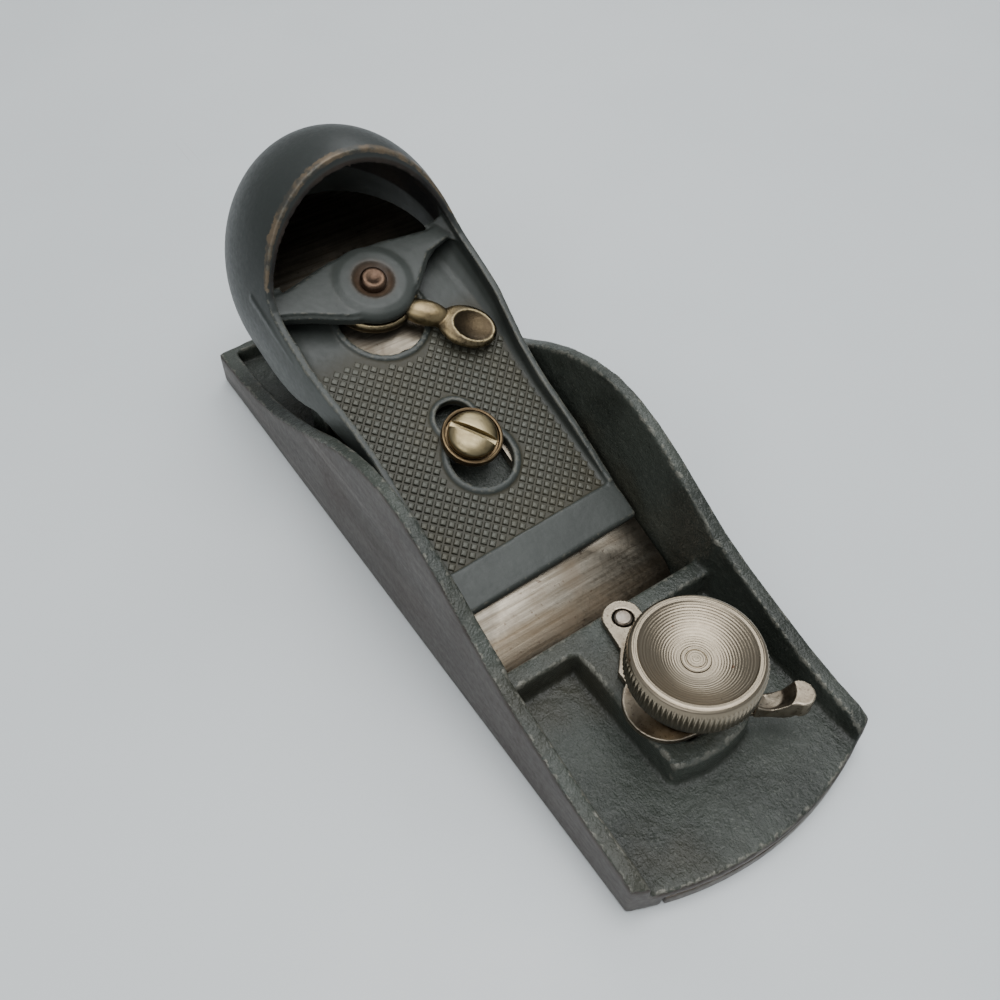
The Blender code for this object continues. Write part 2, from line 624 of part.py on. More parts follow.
def make_crank_pin():
    profile = ((0.0, -7.0), (1.3, -7.0), (1.5, -6.8), (1.5, 6.8), (1.3, 7.0), (0.0, 7.0))
    spot = Matrix.Translation(Vector((CRANK_X, 0, CRANK_Z)))
    spot = spot @ Matrix.Rotation(math.radians(90), 4, "X")
    return finish(lathe("crank_pin", profile, 20, spot), steel(), 35)


def make_depth_stud():
    profile = ((0.0, 3.4), (2.2, 3.4), (2.5, 3.7), (2.5, 21.6), (2.2, 22.0), (0.0, 22.0))
    spot = Matrix.Translation(Vector((NUT_X, 0, 0)))
    return finish(lathe("depth_stud", profile, 24, spot), steel(), 35)


def make_depth_nut():
    """Knurled brass wheel with a necked groove for the crank's fork."""
    z = NUT_Z
    profile = ((2.8, z - 3.4), (4.6, z - 3.4), (4.9, z - 3.1), (4.9, z - 1.1), (3.2, z - 0.8),
               (3.2, z + 1.6), (5.4, z + 1.9), (7.6, z + 2.2), (8.0, z + 2.6), (8.0, z + 6.6),
               (7.6, z + 7.0), (3.4, z + 7.4), (2.8, z + 7.4))

    def wave(radius, height, k):
        return -0.3 if radius >= 8.0 and k % 2 else 0.0

    spot = Matrix.Translation(Vector((NUT_X, 0, 0)))
    return finish(lathe("depth_nut", profile, 72, spot, wave), brass(), 35)


def make_side_lever():
    """Lateral lever under the blade with a window for the crank nib and a turned-down tail."""
    place = bed_matrix(LAT_S)
    outline = arc_points(10.0, 0.0, 3.6, -75.0, 75.0, 8)
    outline += [(3.0, 5.6), (-3.0, 7.6), (-15.0, 7.6), (-19.0, 4.4), (-31.0, 3.6), (-33.0, 2.4),
                (-33.0, -2.4), (-31.0, -3.6), (-19.0, -4.4), (-15.0, -7.6), (-3.0, -7.6),
                (3.0, -5.6)]
    lever = prism("side_lever", outline, -3.9, -2.7, "Z", place)
    tab = prism("tab", ((-33.0, -2.7), (-31.8, -2.7), (-33.2, -9.5), (-34.4, -9.5)), -3.0, 3.0, "Y",
                place)
    combine(lever, [tab], "UNION")
    cuts = [lathe("bore", ((1.8, -9.0), (1.8, 9.0), (0.0, 9.0), (0.0, -9.0)), 20, place),
            lathe("pivot", ((1.5, -9.0), (1.5, 9.0), (0.0, 9.0), (0.0, -9.0)), 20,
                  bed_matrix(LAT_S - 10.0)),
            box("window", (-14.0, -4.6), (-4.4, 4.4), (-9.0, 9.0), place)]
    combine(lever, cuts, "DIFFERENCE")
    return finish(lever, steel(), 30)


def make_side_rivet():
    profile = ((0.0, -9.0), (1.5, -9.0), (1.5, -2.6), (0.0, -2.6))
    return finish(lathe("side_rivet", profile, 20, bed_matrix(LAT_S)), steel(), 35)


def make_slot_roller():
    """Small disc riveted to the side lever that works in the blade's slot."""
    profile = ((0.0, -4.4), (1.15, -4.4), (1.15, -2.4), (4.2, -2.4), (4.3, -2.2), (4.3, -0.5),
               (4.0, -0.3), (0.0, -0.3))
    return finish(lathe("slot_roller", profile, 28, bed_matrix(LAT_S - 10.0)), steel(), 35)


# ---------------------------------------------------------------- materials

def cast_iron():
    return material("green_black_casting", (0.045, 0.062, 0.055), 0.2, 0.5)


def paint():
    return material("grey_green_enamel", (0.075, 0.098, 0.096), 0.2, 0.4)


def ground_iron():
    return material("ground_iron", (0.23, 0.205, 0.185), 0.8, 0.4)


def nickel():
    return material("nickel_plate", (0.58, 0.54, 0.47), 0.95, 0.3)


def brass():
    return material("aged_brass", (0.36, 0.28, 0.14), 0.9, 0.38)


def steel():
    return material("tool_steel", (0.33, 0.30, 0.27), 0.9, 0.36)


def rusty_steel():
    return material("browned_steel", (0.16, 0.10, 0.07), 0.6, 0.55)


def main():
    clear_scene()
    make_body()
    make_mouth_plate()
    make_knob_stud()
    make_front_knob()
    make_eccentric_lever()
    make_eccentric_pin()
    make_blade()
    make_lever_cap()
    make_cap_screw_ring()
    make_cap_screw()
    make_cam_lever()
    make_cam_rivet()
    make_crank()
    make_crank_pin()
    make_depth_stud()
    make_depth_nut()
    make_side_lever()
    make_side_rivet()
    make_slot_roller()


main()
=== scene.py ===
"""Looks of the hand plane: softened castings, checkering, turned parts, worn finishes.

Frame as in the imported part: +X to the toe, +Y to the plane's left, +Z up, metres.
Shapes drawn on the bed use millimetres: s up the slope from the mouth, y across,
h out of the blade's upper face.
"""

import json
import math
import random

import bmesh
import bpy
import numpy as np
from mathutils import Matrix, Vector


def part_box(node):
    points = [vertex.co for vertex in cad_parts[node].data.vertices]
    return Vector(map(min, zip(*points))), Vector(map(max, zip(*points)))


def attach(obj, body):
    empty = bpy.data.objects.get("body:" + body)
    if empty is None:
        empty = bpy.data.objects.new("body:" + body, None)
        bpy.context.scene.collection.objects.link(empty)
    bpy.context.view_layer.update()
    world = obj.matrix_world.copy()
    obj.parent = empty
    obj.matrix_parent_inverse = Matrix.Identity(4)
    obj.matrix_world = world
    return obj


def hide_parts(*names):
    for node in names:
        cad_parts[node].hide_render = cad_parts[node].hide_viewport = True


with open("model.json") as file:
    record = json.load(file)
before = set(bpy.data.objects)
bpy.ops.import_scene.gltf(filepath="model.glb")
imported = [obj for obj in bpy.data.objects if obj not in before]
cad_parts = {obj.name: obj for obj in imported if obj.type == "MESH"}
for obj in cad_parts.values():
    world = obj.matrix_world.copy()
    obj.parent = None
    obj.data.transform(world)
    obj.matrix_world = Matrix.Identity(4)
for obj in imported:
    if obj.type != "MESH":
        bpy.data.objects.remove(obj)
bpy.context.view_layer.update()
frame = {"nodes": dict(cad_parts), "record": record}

MM = 0.001
NODES = frame["nodes"]
BODY_OF = {n: b for b, names in frame["record"]["behaviour"]["bodies"].items() for n in names}

NOISE_ROUGHNESS = 0.55
ENAMEL_SPECULAR = 0.34

# camera
TARGET = (-0.002085, 0.000935, 0.0100)
DISTANCE = 0.194633
AZIMUTH = 54.939
ELEVATION = 49.329
ROLL = 0.6425
LENS = 36.168
SENSOR = 36.0

# body, millimetres: the finger hollow in each cheek and the toe's bow
HOLLOW_X = -2.0
HOLLOW_Z = 15.5
HOLLOW_DEPTH = 0.9
HOLLOW_LENGTH = 17.0
HOLLOW_HEIGHT = 5.5
TOE_SAG = 5.7

# bed
BED_DEG = 21.0
BED_X = 33.3
BED_Z = 0.3
SCREW_S = 48.1
CAP_SKEW = 2.0

# lever cap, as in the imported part
CAP_FRONT = 19.4
CAP_STEP = 26.9
CAP_HALF = 20.0
HOOD_S = 93.4
HOOD_A = 25.3
HOOD_B = 23.0
HOOD_C = 28.6
HOOD_TILT = 4.5
HOOD_WALL = 1.35
HOOD_ROOF = 2.6
RIVET_S = 84.2
BRIDGE_H = 8.2
KEYHOLE = ((53.3, 3.9, 5.0), (44.2, 6.3, 7.7))
WINDOW = (79.6, -0.5, 9.1, 8.7)
PIP_PITCH = 1.62
PIP_TOP = 0.46
PIP_FLOOR = 1.9
PIP_SEED = 7

# cam lever, turned from the lever's own axis
CAM_TURN = 44.0

# knob
KNOB_X = 52.0
KNOB_R = 11.0
KNOB_TOP = 27.7
KNOB_RIBS = 84


def bed_matrix(s=0.0, skew=0.0):
    base = Matrix.Translation(Vector((BED_X, 0.0, BED_Z)))
    turn = Matrix.Rotation(math.radians(BED_DEG), 4, "Y")
    pivot = Matrix.Translation(Vector((-SCREW_S, 0.0, 0.0)))
    swing = Matrix.Rotation(math.radians(skew), 4, "Z")
    return base @ turn @ pivot @ swing @ Matrix.Translation(Vector((SCREW_S - s, 0.0, 0.0)))


# ---------------------------------------------------------------- mesh helpers

def link(name, mesh):
    obj = bpy.data.objects.new(name, mesh)
    bpy.context.scene.collection.objects.link(obj)
    return obj


def from_bmesh(name, bm, matrix=None):
    """Finish a millimetre bmesh as an object whose mesh is in the row frame, still in mm."""
    bmesh.ops.recalc_face_normals(bm, faces=bm.faces)
    mesh = bpy.data.meshes.new(name)
    bm.to_mesh(mesh)
    bm.free()
    if matrix is not None:
        mesh.transform(matrix)
    return link(name, mesh)


def to_metres(obj):
    obj.data.transform(Matrix.Scale(MM, 4))
    return obj


def prism(name, outline, low, high, axis="Z", matrix=None):
    order = {"Z": lambda a, b, c: (a, b, c), "Y": lambda a, b, c: (a, c, b)}[axis]
    bm = bmesh.new()
    rings = [[bm.verts.new(Vector(order(a, b, level))) for a, b in outline]
             for level in (low, high)]
    count = len(outline)
    for i in range(count):
        j = (i + 1) % count
        bm.faces.new((rings[0][i], rings[0][j], rings[1][j], rings[1][i]))
    bm.faces.new(rings[0][::-1])
    bm.faces.new(rings[1])
    return from_bmesh(name, bm, matrix)


def lathe(name, profile, steps, matrix=None, wave=None):
    """Turn a closed (radius, height) profile about Z; wave may ripple the radius."""
    bm = bmesh.new()
    rings = []
    for radius, height in profile:
        if radius < 1e-6:
            rings.append([bm.verts.new((0.0, 0.0, height))])
            continue
        ring = []
        for k in range(steps):
            angle = 2.0 * math.pi * k / steps
            r = radius + (wave(radius, height, k) if wave else 0.0)
            ring.append(bm.verts.new((r * math.cos(angle), r * math.sin(angle), height)))
        rings.append(ring)
    for a, b in list(zip(rings, rings[1:])) + [(rings[-1], rings[0])]:
        if len(a) == 1 and len(b) == 1:
            continue
        for k in range(steps):
            n = (k + 1) % steps
            if len(a) == 1:
                bm.faces.new((a[0], b[k], b[n]))
            elif len(b) == 1:
                bm.faces.new((a[k], b[0], a[n]))
            else:
                bm.faces.new((a[k], b[k], b[n], a[n]))
    return from_bmesh(name, bm, matrix)


def oval(cx, cy, rx, ry, count):
    return [(cx + rx * math.cos(2.0 * math.pi * k / count),
             cy + ry * math.sin(2.0 * math.pi * k / count)) for k in range(count)]


def combine(target, others, operation):
    """Exact booleans in order; the helper solids are dropped."""
    for other in others:
        mod = target.modifiers.new("op", "BOOLEAN")
        mod.operation = operation
        mod.solver = "EXACT"
        mod.object = other
        apply_modifiers(target)
        bpy.data.objects.remove(other, do_unlink=True)
        bm = bmesh.new()
        bm.from_mesh(target.data)
        bmesh.ops.remove_doubles(bm, verts=bm.verts, dist=2e-4)
        bmesh.ops.triangulate(bm, faces=bm.faces)
        bm.to_mesh(target.data)
        bm.free()
    return target


def apply_modifiers(obj):
    bpy.context.view_layer.update()
    graph = bpy.context.evaluated_depsgraph_get()
    mesh = bpy.data.meshes.new_from_object(obj.evaluated_get(graph))
    obj.modifiers.clear()
    obj.data = mesh
    return obj


def soften(obj, voxel, passes):
    """Rebuild an object's surface on a fine grid and round its corners, as casting does."""
    bm = bmesh.new()
    bm.from_mesh(obj.data)
    bmesh.ops.remove_doubles(bm, verts=bm.verts, dist=voxel * 0.01)
    bm.to_mesh(obj.data)
    bm.free()
    mod = obj.modifiers.new("grid", "REMESH")
    mod.mode = "VOXEL"
    mod.voxel_size = voxel
    mod.use_smooth_shade = True
    mod = obj.modifiers.new("round", "SMOOTH")
    mod.factor = 0.5
    mod.iterations = passes
    return apply_modifiers(obj)


def copy_node(node, name):
    return link(name, NODES[node].data.copy())


def positions(mesh):
    co = np.empty(len(mesh.vertices) * 3)
    mesh.vertices.foreach_get("co", co)
    return co.reshape(-1, 3)


def set_positions(mesh, co):
    mesh.vertices.foreach_set("co", co.ravel())
    mesh.update()


def normals(mesh):
    no = np.empty(len(mesh.vertices) * 3)
    mesh.vertices.foreach_get("normal", no)
    return no.reshape(-1, 3)


def averaged(mesh, values, rounds):
    """Values blurred over the mesh's edges."""
    ends = np.empty(len(mesh.edges) * 2, dtype=np.int64)
    mesh.edges.foreach_get("vertices", ends)
    a, b = ends.reshape(-1, 2).T
    size = len(mesh.vertices)
    degree = np.maximum(np.bincount(a, minlength=size) + np.bincount(b, minlength=size), 1)
    out = values.copy()
    for _ in range(rounds):
        for axis in range(out.shape[1]):
            column = out[:, axis]
            total = np.bincount(a, column[b], size) + np.bincount(b, column[a], size)
            out[:, axis] = 0.5 * column + 0.5 * total / degree
    return out


def set_attribute(mesh, name, values):
    layer = mesh.attributes.new(name, "FLOAT", "POINT")
    layer.data.foreach_set("value", values.astype(np.float32))


def mark_edges(obj, depth, rounds):
    """Store wear (1 on outer corners) and cove (1 in inner corners, where the shaders paint
    shade) on the vertices.
    """
    mesh = obj.data
    co = positions(mesh)
    lift = np.einsum("ij,ij->i", co - averaged(mesh, co, rounds), normals(mesh)) / depth
    set_attribute(mesh, "wear", np.clip(lift, 0.0, 1.0))
    set_attribute(mesh, "cove", np.clip(-lift, 0.0, 1.0))


def smooth_step(low, high, values):
    t = np.clip((values - low) / (high - low), 0.0, 1.0)
    return t * t * (3.0 - 2.0 * t)


def to_cap(co):
    """Row-frame metres to cap-frame millimetres: columns s, y, h."""
    inverse = np.array(bed_matrix(0.0, CAP_SKEW).inverted())
    local = (co / MM) @ inverse[:3, :3].T + inverse[:3, 3]
    return -local[:, 0], local[:, 1], local[:, 2]


def dress(obj, mat, node, stands_in=True):
    """Give a piece its material and body; one that stands in for the node replaces it."""
    obj.data.materials.clear()
    obj.data.materials.append(mat)
    for face in obj.data.polygons:
        face.material_index = 0
    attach(obj, BODY_OF[node])
    if stands_in:
        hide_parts(node)
    return obj


def shade_smooth(obj, degrees):
    for face in obj.data.polygons:
        face.use_smooth = True
    obj.data.set_sharp_from_angle(angle=math.radians(degrees))
    return obj


# ---------------------------------------------------------------- shader helper

class Paint:
    """Builds one node material around a Principled shader, in object coordinates."""

    def __init__(self, name, roughness=0.5, metallic=0.0):
        self.mat = bpy.data.materials.new(name)
        self.mat.use_nodes = True
        self.tree = self.mat.node_tree
        self.shader = self.tree.nodes["Principled BSDF"]
        self.shader.inputs["Roughness"].default_value = roughness
        self.shader.inputs["Metallic"].default_value = metallic
        self.place = self.tree.nodes.new("ShaderNodeTexCoord").outputs["Object"]

    def put(self, value, socket):
        if isinstance(value, bpy.types.NodeSocket):
            self.tree.links.new(value, socket)
        else:
            socket.default_value = value

    def mapped(self, location=(0, 0, 0), rotation=(0, 0, 0), scale=(1, 1, 1), kind="POINT"):
        node = self.tree.nodes.new("ShaderNodeMapping")
        node.vector_type = kind
        self.put(self.place, node.inputs["Vector"])
        node.inputs["Location"].default_value = location
        node.inputs["Rotation"].default_value = rotation
        node.inputs["Scale"].default_value = scale
        return node.outputs["Vector"]

    def noise(self, scale, detail=3.0, vector=None, distortion=0.0):
        node = self.tree.nodes.new("ShaderNodeTexNoise")
        self.put(vector or self.place, node.inputs["Vector"])
        node.inputs["Scale"].default_value = scale
        node.inputs["Detail"].default_value = detail
        node.inputs["Roughness"].default_value = NOISE_ROUGHNESS
        node.inputs["Distortion"].default_value = distortion
        return node.outputs["Fac"]

    def rings(self, vector, scale, distortion):
        """Rings round Z."""
        node = self.tree.nodes.new("ShaderNodeTexWave")
        node.wave_type = "RINGS"
        node.rings_direction = "Z"
        self.put(vector, node.inputs["Vector"])
        node.inputs["Scale"].default_value = scale
        node.inputs["Distortion"].default_value = distortion
        node.inputs["Detail"].default_value = 1.0
        return node.outputs["Fac"]

    def span(self, value, low, high, out_low=0.0, out_high=1.0):
        node = self.tree.nodes.new("ShaderNodeMapRange")
        node.interpolation_type = "SMOOTHSTEP"
        self.put(value, node.inputs["Value"])
        node.inputs["From Min"].default_value = low
        node.inputs["From Max"].default_value = high
        node.inputs["To Min"].default_value = out_low
        node.inputs["To Max"].default_value = out_high
        return node.outputs["Result"]

    def sum(self, operation, a, b):
        node = self.tree.nodes.new("ShaderNodeMath")
        node.operation = operation
        self.put(a, node.inputs[0])
        self.put(b, node.inputs[1])
        return node.outputs[0]

    def mix(self, factor, a, b):
        node = self.tree.nodes.new("ShaderNodeMix")
        node.data_type = "RGBA"
        self.put(factor, node.inputs["Factor"])
        for value, name in ((a, "A"), (b, "B")):
            socket = [s for s in node.inputs if s.name == name and s.type == "RGBA"][0]
            self.put(value if isinstance(value, bpy.types.NodeSocket) else (*value, 1.0), socket)
        return [s for s in node.outputs if s.type == "RGBA"][0]

    def attribute(self, name):
        node = self.tree.nodes.new("ShaderNodeAttribute")
        node.attribute_name = name
        return node.outputs["Fac"]

    def axis(self, name, vector=None):
        node = self.tree.nodes.new("ShaderNodeSeparateXYZ")
        self.put(vector or self.place, node.inputs[0])
        return node.outputs[name]

    def bump(self, height, distance, strength=1.0, under=None):
        node = self.tree.nodes.new("ShaderNodeBump")
        self.put(height, node.inputs["Height"])
        node.inputs["Distance"].default_value = distance
        node.inputs["Strength"].default_value = strength
        if under is not None:
            self.put(under, node.inputs["Normal"])
        return node.outputs["Normal"]

    def done(self, colour, roughness=None, metallic=None, normal=None):
        self.put(colour, self.shader.inputs["Base Color"])
        if roughness is not None:
            self.put(roughness, self.shader.inputs["Roughness"])
        if metallic is not None:
            self.put(metallic, self.shader.inputs["Metallic"])
        if normal is not None:
            self.put(normal, self.shader.inputs["Normal"])
        return self.mat


# ---------------------------------------------------------------- materials

def casting_paint():
    """Dark green enamel over rough iron, chipped on edges, ground bare outside."""
    p = Paint("casting_enamel", 0.38)
    p.shader.inputs["Specular IOR Level"].default_value = ENAMEL_SPECULAR
    broad = p.noise(55.0, 4.0)
    fine = p.noise(900.0, 3.0)
    grain = p.noise(2600.0, 2.0)
    deep = p.mix(p.span(broad, 0.35, 0.65), (0.022, 0.026, 0.021), (0.048, 0.055, 0.046))
    flecks = p.span(p.noise(1700.0, 2.0), 0.58, 0.70)
    deep = p.mix(p.sum("MULTIPLY", flecks, 0.30), deep, (0.125, 0.13, 0.110))
    stain = p.sum("MULTIPLY", p.span(p.noise(38.0, 3.0), 0.52, 0.72), 0.4)
    deep = p.mix(stain, deep, (0.050, 0.042, 0.026))
    # Painted shade: inner corners (cove) are darkened to near black.
    deep = p.mix(p.sum("MULTIPLY", p.attribute("cove"), 0.8), deep, (0.020, 0.021, 0.017))
    chips = p.sum("ADD", p.attribute("wear"), p.span(fine, 0.3, 0.7, -0.4, 0.4))
    chips = p.span(chips, 0.62, 0.85)
    chips = p.sum("MULTIPLY", chips, p.span(p.noise(240.0, 3.0), 0.35, 0.6, 0.25, 0.8))
    worn = p.mix(fine, (0.075, 0.075, 0.062), (0.20, 0.195, 0.165))
    painted = p.mix(chips, deep, worn)
    streaks = p.noise(700.0, 3.0, vector=p.mapped(scale=(0.10, 1.0, 1.0)))
    slanted = p.mapped(rotation=(0, 0.5, 0), scale=(0.05, 1, 1))
    scratch = p.span(p.noise(260.0, 2.0, vector=slanted), 0.62, 0.70)
    bare = p.mix(p.span(streaks, 0.3, 0.7), (0.062, 0.055, 0.050), (0.098, 0.088, 0.081))
    bare = p.mix(p.span(p.noise(70.0, 3.0), 0.45, 0.75), bare, (0.058, 0.046, 0.040))
    bare = p.mix(p.sum("MULTIPLY", scratch, 0.35), bare, (0.20, 0.185, 0.17))
    ground = p.sum("ADD", p.attribute("ground"), p.span(fine, 0.3, 0.7, -0.25, 0.25))
    ground = p.span(ground, 0.4, 0.6)
    colour = p.mix(ground, painted, bare)
    rough = p.sum("ADD", p.span(fine, 0.2, 0.8, 0.32, 0.46), p.sum("MULTIPLY", ground, 0.08))
    metal = p.sum("MAXIMUM", p.sum("MULTIPLY", ground, 0.55), p.sum("MULTIPLY", chips, 0.4))
    lumps = p.sum("ADD", p.noise(480.0, 3.0), p.sum("MULTIPLY", grain, 0.4))
    height = p.sum("MULTIPLY", lumps, p.sum("SUBTRACT", 1.0, p.sum("MULTIPLY", ground, 0.85)))
    return p.done(colour, rough, metal, p.bump(height, 0.00042, 1.0))


def cap_paint():
    """Grey-green enamel, soft gloss, worn brown on the hood's lip, dirty in the field; painted
    shade darkens the hood, the inner corners and the hood's interior.
    """
    p = Paint("cap_enamel", 0.36)
    p.shader.inputs["Specular IOR Level"].default_value = ENAMEL_SPECULAR
    broad = p.noise(70.0, 4.0)
    fine = p.noise(1100.0, 3.0)
    colour = p.mix(p.span(broad, 0.3, 0.7), (0.035, 0.040, 0.036), (0.050, 0.056, 0.051))
    # Painted shade: the hood's shell is darkened where it turns away from the light, and the
    # inner corners (cove) are darkened too.
    colour = p.mix(p.sum("MULTIPLY", p.attribute("hood"), 0.8), colour, (0.016, 0.019, 0.018))
    colour = p.mix(p.sum("MULTIPLY", p.attribute("cove"), 0.6), colour, (0.030, 0.030, 0.022))
    field = p.sum("MULTIPLY", p.attribute("field"), p.span(broad, 0.25, 0.7, 0.75, 1.0))
    colour = p.mix(field, colour, p.mix(fine, (0.030, 0.028, 0.018), (0.056, 0.050, 0.032)))
    chips = p.sum("ADD", p.attribute("wear"), p.span(fine, 0.3, 0.7, -0.3, 0.3))
    colour = p.mix(p.sum("MULTIPLY", p.span(chips, 0.55, 0.8), 0.45), colour, (0.13, 0.125, 0.10))
    lip = p.span(p.sum("ADD", p.attribute("lip"), p.span(fine, 0.2, 0.8, -0.3, 0.3)), 0.45, 0.75)
    patchy = p.sum("MULTIPLY", lip, p.span(p.noise(330.0, 3.0), 0.38, 0.62, 0.1, 0.75))
    colour = p.mix(patchy, colour, p.mix(broad, (0.11, 0.078, 0.048), (0.19, 0.145, 0.095)))
    # Painted shadow with rust: the hood's interior is painted brown-black, near black in patches.
    rust = p.span(p.noise(90.0, 3.0), 0.35, 0.7)
    rust_and_painted_shadow = p.mix(rust, (0.030, 0.022, 0.017), (0.008, 0.008, 0.008))
    colour = p.mix(p.attribute("inside"), colour, rust_and_painted_shadow)
    sunk = p.mix(fine, (0.040, 0.026, 0.017), (0.085, 0.055, 0.035))
    colour = p.mix(p.attribute("sink"), colour, sunk)
    rough = p.sum("ADD", p.span(fine, 0.2, 0.8, 0.36, 0.48), p.sum("MULTIPLY", field, 0.15))
    rough = p.sum("ADD", rough, p.sum("MULTIPLY", p.attribute("inside"), 0.45))
    lumps = p.sum("ADD", p.noise(300.0, 2.0), p.sum("MULTIPLY", fine, 0.25))
    return p.done(colour, rough, p.sum("MULTIPLY", patchy, 0.5), p.bump(lumps, 0.00012, 0.7))


def pip_paint():
    """The cap's enamel on the checkering: dirt low down, rubbed tops."""
    p = Paint("checkering_enamel", 0.45)
    p.shader.inputs["Specular IOR Level"].default_value = ENAMEL_SPECULAR
    fine = p.noise(1300.0, 3.0)
    tall = p.attribute("tall")
    colour = p.mix(p.span(tall, 0.15, 0.85), (0.036, 0.034, 0.022), (0.069, 0.070, 0.056))
    colour = p.mix(p.span(p.noise(60.0, 3.0), 0.4, 0.7, 0.0, 0.5), colour, (0.075, 0.064, 0.039))
    rubbed = p.sum("MULTIPLY", p.span(fine, 0.55, 0.75), p.span(tall, 0.7, 1.0))
    colour = p.mix(p.sum("MULTIPLY", rubbed, 0.5), colour, (0.18, 0.17, 0.135))
    return p.done(colour, p.span(fine, 0.2, 0.8, 0.34, 0.55), 0.15,
                  p.bump(fine, 0.00005, 0.6))


def nickel_turned():
    """Worn nickel with fine rings cut round the knob's own axis."""
    p = Paint("nickel_turned", 0.30, 1.0)
    rings = p.rings(p.place, 760.0, 0.4)
    broad_rings = p.rings(p.place, 560.0, 0.8)
    fine = p.noise(1500.0, 3.0)
    colour = p.mix(p.span(broad_rings, 0.2, 0.8), (0.255, 0.213, 0.156), (0.31, 0.262, 0.195))
    colour = p.mix(p.sum("MULTIPLY", p.span(p.noise(150.0, 4.0), 0.50, 0.75), 0.45), colour,
                   (0.21, 0.170, 0.122))
    rust = p.span(p.noise(390.0, 2.0), 0.72, 0.77)
    colour = p.mix(p.sum("MULTIPLY", rust, 0.8), colour, (0.12, 0.055, 0.03))
    rough = p.sum("ADD", p.span(fine, 0.2, 0.8, 0.27, 0.36), p.sum("MULTIPLY", rust, 0.3))
    p.shader.inputs["Anisotropic"].default_value = 0.75
    tangent = p.tree.nodes.new("ShaderNodeTangent")
    tangent.direction_type = "RADIAL"
    tangent.axis = "Z"
    p.tree.links.new(tangent.outputs["Tangent"], p.shader.inputs["Tangent"])
    normal = p.bump(rings, 0.000035, 0.6)
    return p.done(colour, rough, None, p.bump(fine, 0.000015, 0.4, normal))


def nickel_plain():
    """Worn nickel on flat pressings: brown blots, dark specks, bright corners."""
    p = Paint("nickel_worn", 0.32, 1.0)
    fine = p.noise(1600.0, 3.0)
    blot = p.span(p.noise(300.0, 4.0), 0.42, 0.72)
    colour = p.mix(blot, (0.31, 0.262, 0.198), (0.15, 0.115, 0.08))
    specks = p.span(p.noise(1900.0, 2.0), 0.60, 0.68)
    colour = p.mix(p.sum("MULTIPLY", specks, 0.6), colour, (0.08, 0.06, 0.045))
    # Painted shade: inner corners (cove) are darkened.
    colour = p.mix(p.sum("MULTIPLY", p.attribute("cove"), 0.8), colour, (0.05, 0.038, 0.028))
    bright = p.sum("MULTIPLY", p.attribute("wear"), 0.6)
    colour = p.mix(bright, colour, (0.44, 0.39, 0.31))
    return p.done(colour, p.span(fine, 0.2, 0.8, 0.26, 0.42), None, p.bump(fine, 0.00005, 0.6))


def cam_brass():
    """The cam lever's brass: painted shade on the hub, in the thumb scoop and in inner corners,
    rubbed bright on its rim.
    """
    p = Paint("cam_brass", 0.36, 1.0)
    fine = p.noise(1400.0, 3.0)
    blot = p.span(p.noise(240.0, 4.0), 0.35, 0.68)
    colour = p.mix(blot, (0.25, 0.19, 0.10), (0.12, 0.088, 0.05))
    # Painted shade: the hub under the boss, the face of the thumb scoop and the inner corners are
    # darkened.
    dark = p.sum("MAXIMUM", p.attribute("cove"), p.attribute("shade"))
    colour = p.mix(p.sum("MULTIPLY", dark, 0.92), colour, (0.034, 0.025, 0.016))
    bright = p.sum("MULTIPLY", p.attribute("wear"), p.span(fine, 0.2, 0.6))
    colour = p.mix(p.sum("MULTIPLY", bright, 0.75), colour, (0.56, 0.46, 0.27))
    return p.done(colour, p.span(fine, 0.2, 0.8, 0.28, 0.46), None, p.bump(fine, 0.00006, 0.6))


def brass_aged():
    """Tarnished brass: bright where fingers rub, brown elsewhere."""
    p = Paint("brass_aged", 0.34, 1.0)
    fine = p.noise(1400.0, 3.0)
    blot = p.span(p.noise(220.0, 4.0), 0.35, 0.68)
    colour = p.mix(blot, (0.32, 0.262, 0.15), (0.20, 0.158, 0.086))
    # Painted shade: inner corners (cove) are darkened.
    colour = p.mix(p.sum("MULTIPLY", p.attribute("cove"), 0.85), colour, (0.035, 0.025, 0.016))
    bright = p.sum("MULTIPLY", p.attribute("wear"), p.span(fine, 0.2, 0.6))
    colour = p.mix(p.sum("MULTIPLY", bright, 0.6), colour, (0.50, 0.42, 0.26))
    lines = p.noise(900.0, 2.0, vector=p.mapped(scale=(0.12, 1.0, 1.0)))
    return p.done(colour, p.span(fine, 0.2, 0.8, 0.28, 0.44), None,
                  p.bump(lines, 0.00005, 0.6))


